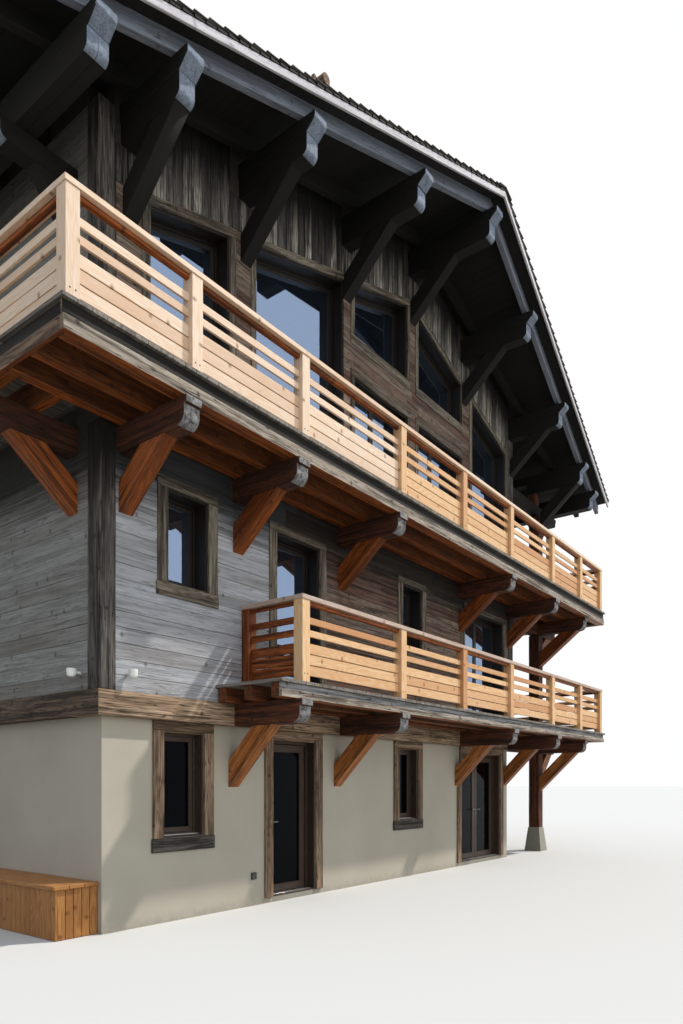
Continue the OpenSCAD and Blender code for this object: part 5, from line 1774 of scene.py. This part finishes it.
@dataclass
class Joinery:
    """Window frames with linings and sashes, door frames and leaves, and the boards round them."""

    kit: Kit
    frame_w: float = 0.06
    frame_d: float = 0.08
    reveal: float = 0.12
    timber_reveal: float = 0.19
    lining: float = 0.022
    leaf_t: float = 0.06
    clearance: float = 0.01
    handle_z: float = 1.07

    def build(self) -> None:
        """Build all windows and doors."""
        kit = self.kit
        # The ground windows are clear, those above have sun-guard glass
        kit.copy("window_glass", ("clear_glazing", "window_glass"), "window_glass", bevel=0.0,
                 rule=lambda c, n: (None, int(c.z > kit.plan.ring_z)))
        kit.copy("opening_surrounds", ("surround_boards", "gable_surround", "post_timber"),
                 "surround_boards", hewn=0.003, bevel=0.006, rule=self._surround)
        self._windows()
        self._doors()

    def _surround(self, centre: Vector, normal: Vector) -> tuple[None, int]:
        """Return 1 for the upper storeys' boards and 2 for the ground windows' sills."""
        p = self.kit.plan
        if centre.z > p.ring_z:
            return None, 1
        garden, terrace = (abs(centre.x - p.columns[i]) for i in (1, 3))
        door = centre.y < 0 and min(garden, terrace - 0.45) < 0.7
        return None, 2 if centre.z < 0.97 and not door else 0

    def ring(self, timber: Timber, frame: Matrix, o: Opening, outer: float, inner: float, y0: float,
             y1: float, slot: int = 0, head: int | None = None) -> None:
        """Add four mitred members round an opening.

        Args:
            timber: The mesh that gets them.
            frame: The wall's frame.
            o: The opening.
            outer: Inset of their outer edge.
            inner: Inset of their inner edge.
            y0: Near face's depth.
            y1: Far face's depth.
            slot: Number of the material.
            head: The head's own material, if it has one.
        """
        a, b = o.outline(outer), o.outline(inner)
        put = frame @ Matrix.Translation((0, y0, 0))
        for i in range(4):
            j = (i + 1) % 4
            way = Vector((a[j][0] - a[i][0], 0, a[j][1] - a[i][1]))
            finish = head if head and i == 2 else slot
            timber.prism([a[i], a[j], b[j], b[i]], y1 - y0, put, way, finish)

    def _window(self, timber: Timber, frame: Matrix, o: Opening, depth: float,
            slot: int = 0) -> None:
        """Add a window: lining, frame, sash, glazing bead and, with two leaves, a middle post."""
        self.ring(timber, frame, o, 0.0015, self.lining, 0.0, depth, slot, slot or 1)
        self.ring(timber, frame, o, 0.0015, self.frame_w - 0.008, depth, depth + self.frame_d, slot)
        leaves = [o]
        if o.leaves > 1:
            # Two leaves meet in a middle post
            mid, half = (o.left + o.right) / 2, self.frame_w - 0.004
            leaves = [Opening(o.left, mid + half, o.sill, o.head, o.slope),
                      Opening(mid - self.frame_w + 0.004, o.right, o.sill,
                              o.top_at(mid - self.frame_w + 0.004), o.slope)]
        w, glass = self.frame_w, depth + self.frame_d / 2
        for leaf in leaves:
            self.ring(timber, frame, leaf, w - 0.006, w + 0.042, depth + 0.014, depth + 0.066, slot)
            self.ring(timber, frame, leaf, w + 0.040, w + 0.052, glass - 0.026, glass + 0.024, slot)

    def _windows(self) -> None:
        """Build the window frames of all four sides in place of the frame's own."""
        p = self.kit.plan
        timber = Timber("window_frames_dressed", 71)
        shallow, deep, pale, dark = self.reveal, self.timber_reveal, 0, 2
        for facing, face, openings, depth, slot in (
                (Facing.FRONT, p.half_d, p.front_ground(), shallow, pale),
                (Facing.FRONT, -p.yft, p.front_middle() + p.front_gable(), deep, dark),
                (Facing.BACK, p.half_d, [o.mirrored() for o in p.back_ground()], shallow, pale),
                (Facing.BACK, -p.yft, [o.mirrored() for o in p.back_timber()], deep, dark),
                (Facing.LEFT, p.half_w, p.side_ground(), shallow, pale),
                (Facing.LEFT, -p.xlt, p.side_timber(), shallow, dark),
                (Facing.RIGHT, p.xg, p.side_ground(), shallow, pale),
                (Facing.RIGHT, p.xgt, p.side_timber(), shallow, dark)):
            for o in openings:
                self._window(timber, facing.frame(face), o, depth, slot)
        obj = timber.build(self.kit.mats("frame_wood", "surround_boards", "dark_frame"), 0.002)
        adopt(obj, "house", "frame_wood", "window_frames")
        self._strips()

    def _strips(self) -> None:
        """Lay the metal drip strips of the ground windows and the doors' thresholds."""
        p = self.kit.plan
        metal = Hardware("drip_strips")
        front, back = -p.half_d, -p.half_d + self.reveal
        for o in p.front_ground():
            a, b = o.left + self.lining + 0.002, o.right - self.lining - 0.002
            metal.bar((a, front + 0.045, o.sill + 0.0225), (b, back - 0.002, o.sill + 0.034))
        for o in (p.door(1, p.garden_half), p.door(3, p.terrace_half)):
            metal.bar((o.left + self.frame_w, front + 0.03, 0.094),
                      (o.right - self.frame_w, back - 0.001, 0.1))
        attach(metal.build([self.kit.palette["strip"]]), "house")

    def _doors(self) -> None:
        """Build the ground doors: fixed frames, and leaves that ride on their own bodies."""
        p, kit = self.kit.plan, self.kit
        frame = Facing.FRONT.frame(p.half_d)
        fixed = Timber("door_frames_dressed", 81)
        garden, terrace = p.door(1, p.garden_half), p.door(3, p.terrace_half)
        for o in (garden, terrace):
            put = frame @ Matrix.Translation((0, self.reveal, 0))
            for a, b, way in self._door_ring(o):
                fixed.prism([a, (b[0], a[1]), b, (a[0], b[1])], self.frame_d, put, way)
            self.ring(fixed, frame, Opening(o.left, o.right, o.sill + 0.001, o.head), 0.0015,
                self.lining, 0.0, self.reveal - 0.001, 0, 1)
        adopt(fixed.build(kit.mats("frame_wood", "surround_boards"), 0.002), "house", "frame_wood",
              "door_frames")
        g, h, mid = self.clearance, self.frame_w, p.columns[3]
        for body, node, glass, left, right, hinge in (
                ("garden_door", "garden_door_leaf", "garden_door_glass",
                 garden.left + h + g, garden.right - h - g, 1),
                ("terrace_door_left", "terrace_leaf_left", "terrace_glass_left",
                 terrace.left + h + g, mid - g / 2, -1),
                ("terrace_door_right", "terrace_leaf_right", "terrace_glass_right",
                 mid + g / 2, terrace.right - h - g, 1)):
            self._leaf(frame, body, node, Opening(left, right, 0.10, garden.head - h - g), hinge)
            kit.repaint(glass, "clear_glazing")

    def _door_ring(self, o: Opening) -> list[tuple[Point, Point, Vector]]:
        """Return a door frame's jambs, head and threshold as corner pairs with their grain."""
        w = self.frame_w
        up, level = AXES["Z"], AXES["X"]
        return [((o.left, o.sill), (o.left + w, o.head), up),
                ((o.right - w, o.sill), (o.right, o.head), up),
                ((o.left + w, o.head - w), (o.right - w, o.head), level),
                ((o.left + w, o.sill), (o.right - w, o.sill + 0.02), level)]

    def _leaf(self, frame: Matrix, body: str, node: str, o: Opening, hinge: int) -> None:
        """Build one leaf with its bead, lever handles and hinges."""
        timber = Timber(node + "_dressed", 91)
        y0, t = self.reveal + self.frame_d - self.leaf_t, self.leaf_t
        self.ring(timber, frame, o, 0.0, 0.093, y0, y0 + t)
        self.ring(timber, frame, o, 0.091, 0.105, y0 + 0.008, y0 + 0.052)
        adopt(timber.build(self.kit.mats("frame_wood"), 0.002), body, "frame_wood", node)
        metal = Hardware(node + "_hardware")

        def rod(low: Sequence[float], high: Sequence[float], radius: float) -> None:
            """Add a round bar between two places in the wall's own frame."""
            metal.rod(frame @ Vector(low), frame @ Vector(high), radius)

        x, z = (o.left + 0.0475 if hinge > 0 else o.right - 0.0475), self.handle_z
        for s, y in ((-1, y0), (1, y0 + t)):
            # Rose, neck and lever, and the key's plate below them
            rod((x, y - s * 0.001, z), (x, y + s * 0.008, z), 0.024)
            rod((x, y, z), (x, y + s * 0.046, z), 0.009)
            rod((x - hinge * 0.009, y + s * 0.042, z), (x + hinge * 0.111, y + s * 0.042, z), 0.009)
            plate = frame @ Vector((x, y, 0.99))
            metal.rod(plate, plate + Vector((0, s * 0.006, 0)), 0.012)
        pin = (o.right if hinge > 0 else o.left) + hinge * 0.005
        y = y0 + 0.069
        for part in (0.1, 0.48, 0.86):
            foot = o.sill + (o.head - o.sill) * part
            rod((pin, y, foot + 0.0603), (pin, y, foot + 0.12), 0.009)
            rod((pin, y, foot + 0.12), (pin, y, foot + 0.126), 0.006)
        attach(metal.build([self.kit.palette["steel"]]), body)


@dataclass
class Hardware:
    """Turned metal parts gathered into one mesh."""

    name: str
    work: BMesh = field(default_factory=bmesh.new)

    def rod(self, start: Vector, end: Vector, radius: float) -> None:
        """Add a round bar of that radius from start to end."""
        way = end - start
        turn = way.to_track_quat("Z", "Y").to_matrix().to_4x4()
        put = Matrix.Translation((start + end) / 2) @ turn
        bmesh.ops.create_cone(self.work, cap_ends=True, segments=24, radius1=radius, radius2=radius,
                              depth=way.length, matrix=put)

    def bowl(self, put: Matrix, rings: Sequence[tuple[float, float, float, float]]) -> None:
        """Add a closed cast body from level oval rings.

        Args:
            put: Placement of the body.
            rings: Each ring's middle in Y, half its depth, half its width and its height, from
                the lowest up.
            sides: Facets round it.
        """
        sides = 32
        turns = [2 * math.pi * k / sides for k in range(sides)]
        loops = [[self.work.verts.new(
            put @ Vector((wide * math.cos(t), mid + deep * math.sin(t), high))) for t in turns]
            for mid, deep, wide, high in rings]
        for a, b in zip(loops, loops[1:]):
            for k in range(sides):
                j = (k + 1) % sides
                self.work.faces.new((a[k], a[j], b[j], b[k]))
        self.work.faces.new(loops[0][::-1])
        self.work.faces.new(loops[-1])

    def bar(self, low: Sequence[float], high: Sequence[float]) -> None:
        """Add a straight flat bar between two corners."""
        size = [h - l for l, h in zip(low, high)]
        middle = [(h + l) / 2 for l, h in zip(low, high)]
        put = Matrix.Translation(middle) @ Matrix.Diagonal((*size, 1.0))
        bmesh.ops.create_cube(self.work, size=1.0, matrix=put)

    def build(self, mats: Sequence[Material]) -> Object:
        """Make the object with softened edges."""
        mesh = bpy.data.meshes.new(self.name)
        bmesh.ops.recalc_face_normals(self.work, faces=self.work.faces)
        self.work.to_mesh(mesh)
        self.work.free()
        return chamfer(link(mesh, self.name, mats, 35), 0.0015, 2)


@dataclass
class Fittings:
    """Bench, spot lamps and the wall socket."""

    kit: Kit

    def build(self) -> None:
        """Build the small pieces."""
        self._bench()
        self._lamps()
        self.kit.repaint("wall_socket", "socket_plastic")

    def _bench(self) -> None:
        """Clad the bench in upright boards with three planks on top."""
        p = self.kit.plan
        y0, y1 = -p.half_d + 0.06, -p.half_d + 2.46
        x0, x1 = -p.half_w - 0.5, -p.half_w
        timber = Timber("bench_dressed", 101)
        timber.box((x0 + 0.03, y0 + 0.03, 0.0), (x1 - 0.001, y1 - 0.03, 0.515), along="Z", slot=1,
            tone=0.9)
        foot, head, thick = 0.004, 0.518, 0.023
        count = 25
        step = (y1 - y0) / count
        for i in range(count):
            timber.box((x0 + 0.006, y0 + i * step + 0.003, foot),
                       (x0 + 0.029, y0 + (i + 1) * step - 0.003, head), along="Z")
        for i in range(5):
            for y in (y0 + 0.006, y1 - 0.029):
                timber.box((x0 + 0.03 + i * 0.094, y, foot),
                           (x0 + 0.118 + i * 0.094, y + thick, head), along="Z")
        for i in range(3):
            a = x0 - 0.03 + i * 0.1767
            timber.box((a, y0 - 0.03, 0.52), (a + 0.172, y1 + 0.03, 0.56), along="Y",
                tone=0.1 + 0.2 * i)
        adopt(timber.build(self.kit.mats("oiled_larch", "aged_larch"), 0.004), "house",
            "pale_larch", "bench")

    def _lamps(self) -> None:
        """Cast the two white spot lamps: a bowl with a flat lid, on an arm and a wall plate."""
        p = self.kit.plan
        cast = Hardware("wall_lamps_dressed")
        z = p.ring_z + 0.18
        # Each ring's middle and half depth, half width and height, from the lowest up
        rings = [(-0.122, 0.02, 0.02, -0.044), (-0.122, 0.034, 0.032, -0.04),
                 (-0.12, 0.044, 0.041, -0.028), (-0.117, 0.052, 0.045, -0.012),
                 (-0.117, 0.056, 0.045, 0.03), (-0.118, 0.057, 0.045, 0.042),
                 (-0.118, 0.055, 0.043, 0.046), (-0.118, 0.048, 0.037, 0.048)]
        side = Matrix.Rotation(math.radians(-90), 4, "Z")
        for put in (Matrix.Translation((p.xlt, p.yft + 0.33, z)) @ side,
                    Matrix.Translation((p.xlt + 0.33, p.yft, z))):
            cast.bowl(put, rings)
            cast.rod(put @ Vector((0, -0.07, 0.01)), put @ Vector((0, -0.01, 0.01)), 0.016)
            cast.rod(put @ Vector((0, -0.012, 0.01)), put @ Vector((0, 0.0, 0.01)), 0.032)
        adopt(cast.build([self.kit.palette["lamp_housing"]]), "house", "lamp_housing", "wall_lamps")


@dataclass
class Stage:
    """Floor, sky, sun and the photograph's camera."""

    reach: float = 400.0
    sun: float = 3.3
    bounce: float = 1.9
    eye: tuple[float, float, float] = (-10.604, -12.136, 1.60)
    heading: float = -52.69
    lens_mm: float = 25.35
    shift: float = 0.265

    def build(self) -> None:
        """Set up the studio."""
        self._floor()
        self._sky()
        self._sun()
        self._camera()

    def _floor(self) -> None:
        """Lay a plain pale floor that ends in the white background."""
        mesh = bpy.data.meshes.new("floor")
        r = self.reach
        mesh.from_pydata([(-r, -r, 0), (r, -r, 0), (r, r, 0), (-r, r, 0)], [], [(0, 1, 2, 3)])
        # Matt paper, pale grey
        mat, add = new_material("studio_paper")
        ray = self._seen(add)
        tone = add("ShaderNodeMix", {
            "Factor": ray, 6: linear("#8f8f88"), 7: linear("#d4d4d2")}, data_type="RGBA")
        shader = add("ShaderNodeBsdfPrincipled", {
            "Base Color": tone, "Roughness": 0.9, "Specular IOR Level": 0.1})
        add("ShaderNodeOutputMaterial", {"Surface": shader})
        link(mesh, "floor", [mat])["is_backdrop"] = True

    def _seen(self, add: Callable[..., Node]) -> Node:
        """Return 1 for rays that show the background: to the camera, in gloss and through glass."""
        path = add("ShaderNodeLightPath").outputs
        first = add("ShaderNodeMath", {0: path["Is Camera Ray"], 1: path["Is Glossy Ray"]},
                    operation="MAXIMUM")
        return add("ShaderNodeMath", {0: first, 1: path["Is Transmission Ray"]},
                   operation="MAXIMUM")

    def _sky(self) -> None:
        """Light softly from a pale sky that the camera sees as white."""
        world = bpy.data.worlds.new("studio_sky")
        bpy.context.scene.world = world
        world.use_nodes = True
        world.node_tree.nodes.clear()
        add = partial(add_node, world.node_tree)
        ray = self._seen(add)
        light = add("ShaderNodeBackground", {"Color": linear("#c3ccd8"), "Strength": 1.0})
        white = add("ShaderNodeBackground", {"Color": linear("#ffffff"), "Strength": 1.0})
        both = add("ShaderNodeMixShader", {0: ray, 1: light, 2: white})
        add("ShaderNodeOutputWorld", {"Surface": both})

    def _sun(self) -> None:
        """Light the gable from the front right, and softly from the bright ground before it."""
        self._lamp("sun", self.sun, 2.0, (1.0, 0.95, 0.88), (-0.60, 0.40, -0.80))
        ground = self._lamp("ground_bounce", self.bounce, 70.0, (1.0, 1.0, 0.98), (0.12, 1.0, 0.12))
        # Light from the ground: the panes don't mirror it as a second sun
        ground.visible_glossy = False

    def _lamp(self, name: str, energy: float, angle: float, colour: tuple[float, float, float],
              way: tuple[float, float, float]) -> Object:
        """Add a distant lamp that shines along a direction, and return it."""
        lamp = bpy.data.lights.new(name, "SUN")
        lamp.energy = energy
        lamp.angle = math.radians(angle)
        lamp.color = colour
        obj = bpy.data.objects.new(name, lamp)
        obj.rotation_euler = Vector(way).to_track_quat("-Z", "Y").to_euler()
        bpy.context.scene.collection.objects.link(obj)
        obj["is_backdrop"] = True
        return obj

    def _camera(self) -> None:
        """Stand at eye height off the near left corner."""
        data = bpy.data.cameras.new("camera")
        data.sensor_width = 36.0
        data.lens = self.lens_mm
        data.shift_y = self.shift
        data.clip_end = 1000.0
        camera = bpy.data.objects.new("camera", data)
        camera.location = self.eye
        camera.rotation_euler = (QUARTER, 0.0, math.radians(self.heading))
        bpy.context.scene.collection.objects.link(camera)
        bpy.context.scene.camera = camera
        bpy.context.scene.view_settings.view_transform = "Standard"


def size_of(label: str, sizes: dict[str, list[list[float]]]) -> None:
    """Store the shown object's lowest and highest corner under a label."""
    low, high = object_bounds()
    sizes[label] = [[round(v, 5) for v in low], [round(v, 5) for v in high]]
    LOG.info("bounds %s: %s", label, sizes[label])


def main() -> None:
    """Dress the frame and set the stage."""
    logging.basicConfig(level=logging.INFO, format="%(message)s")
    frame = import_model()
    sizes: dict[str, list[list[float]]] = {}
    size_of("frame", sizes)
    kit = Kit(frame["nodes"], Plan(), Palette())
    Masonry(kit).dress()
    TimberWalls(kit).build()
    Roof(kit).build()
    Balconies(kit).build()
    Joinery(kit).build()
    Fittings(kit).build()
    Stage().build()
    size_of("dressed", sizes)


if __name__ == "__main__":
    main()
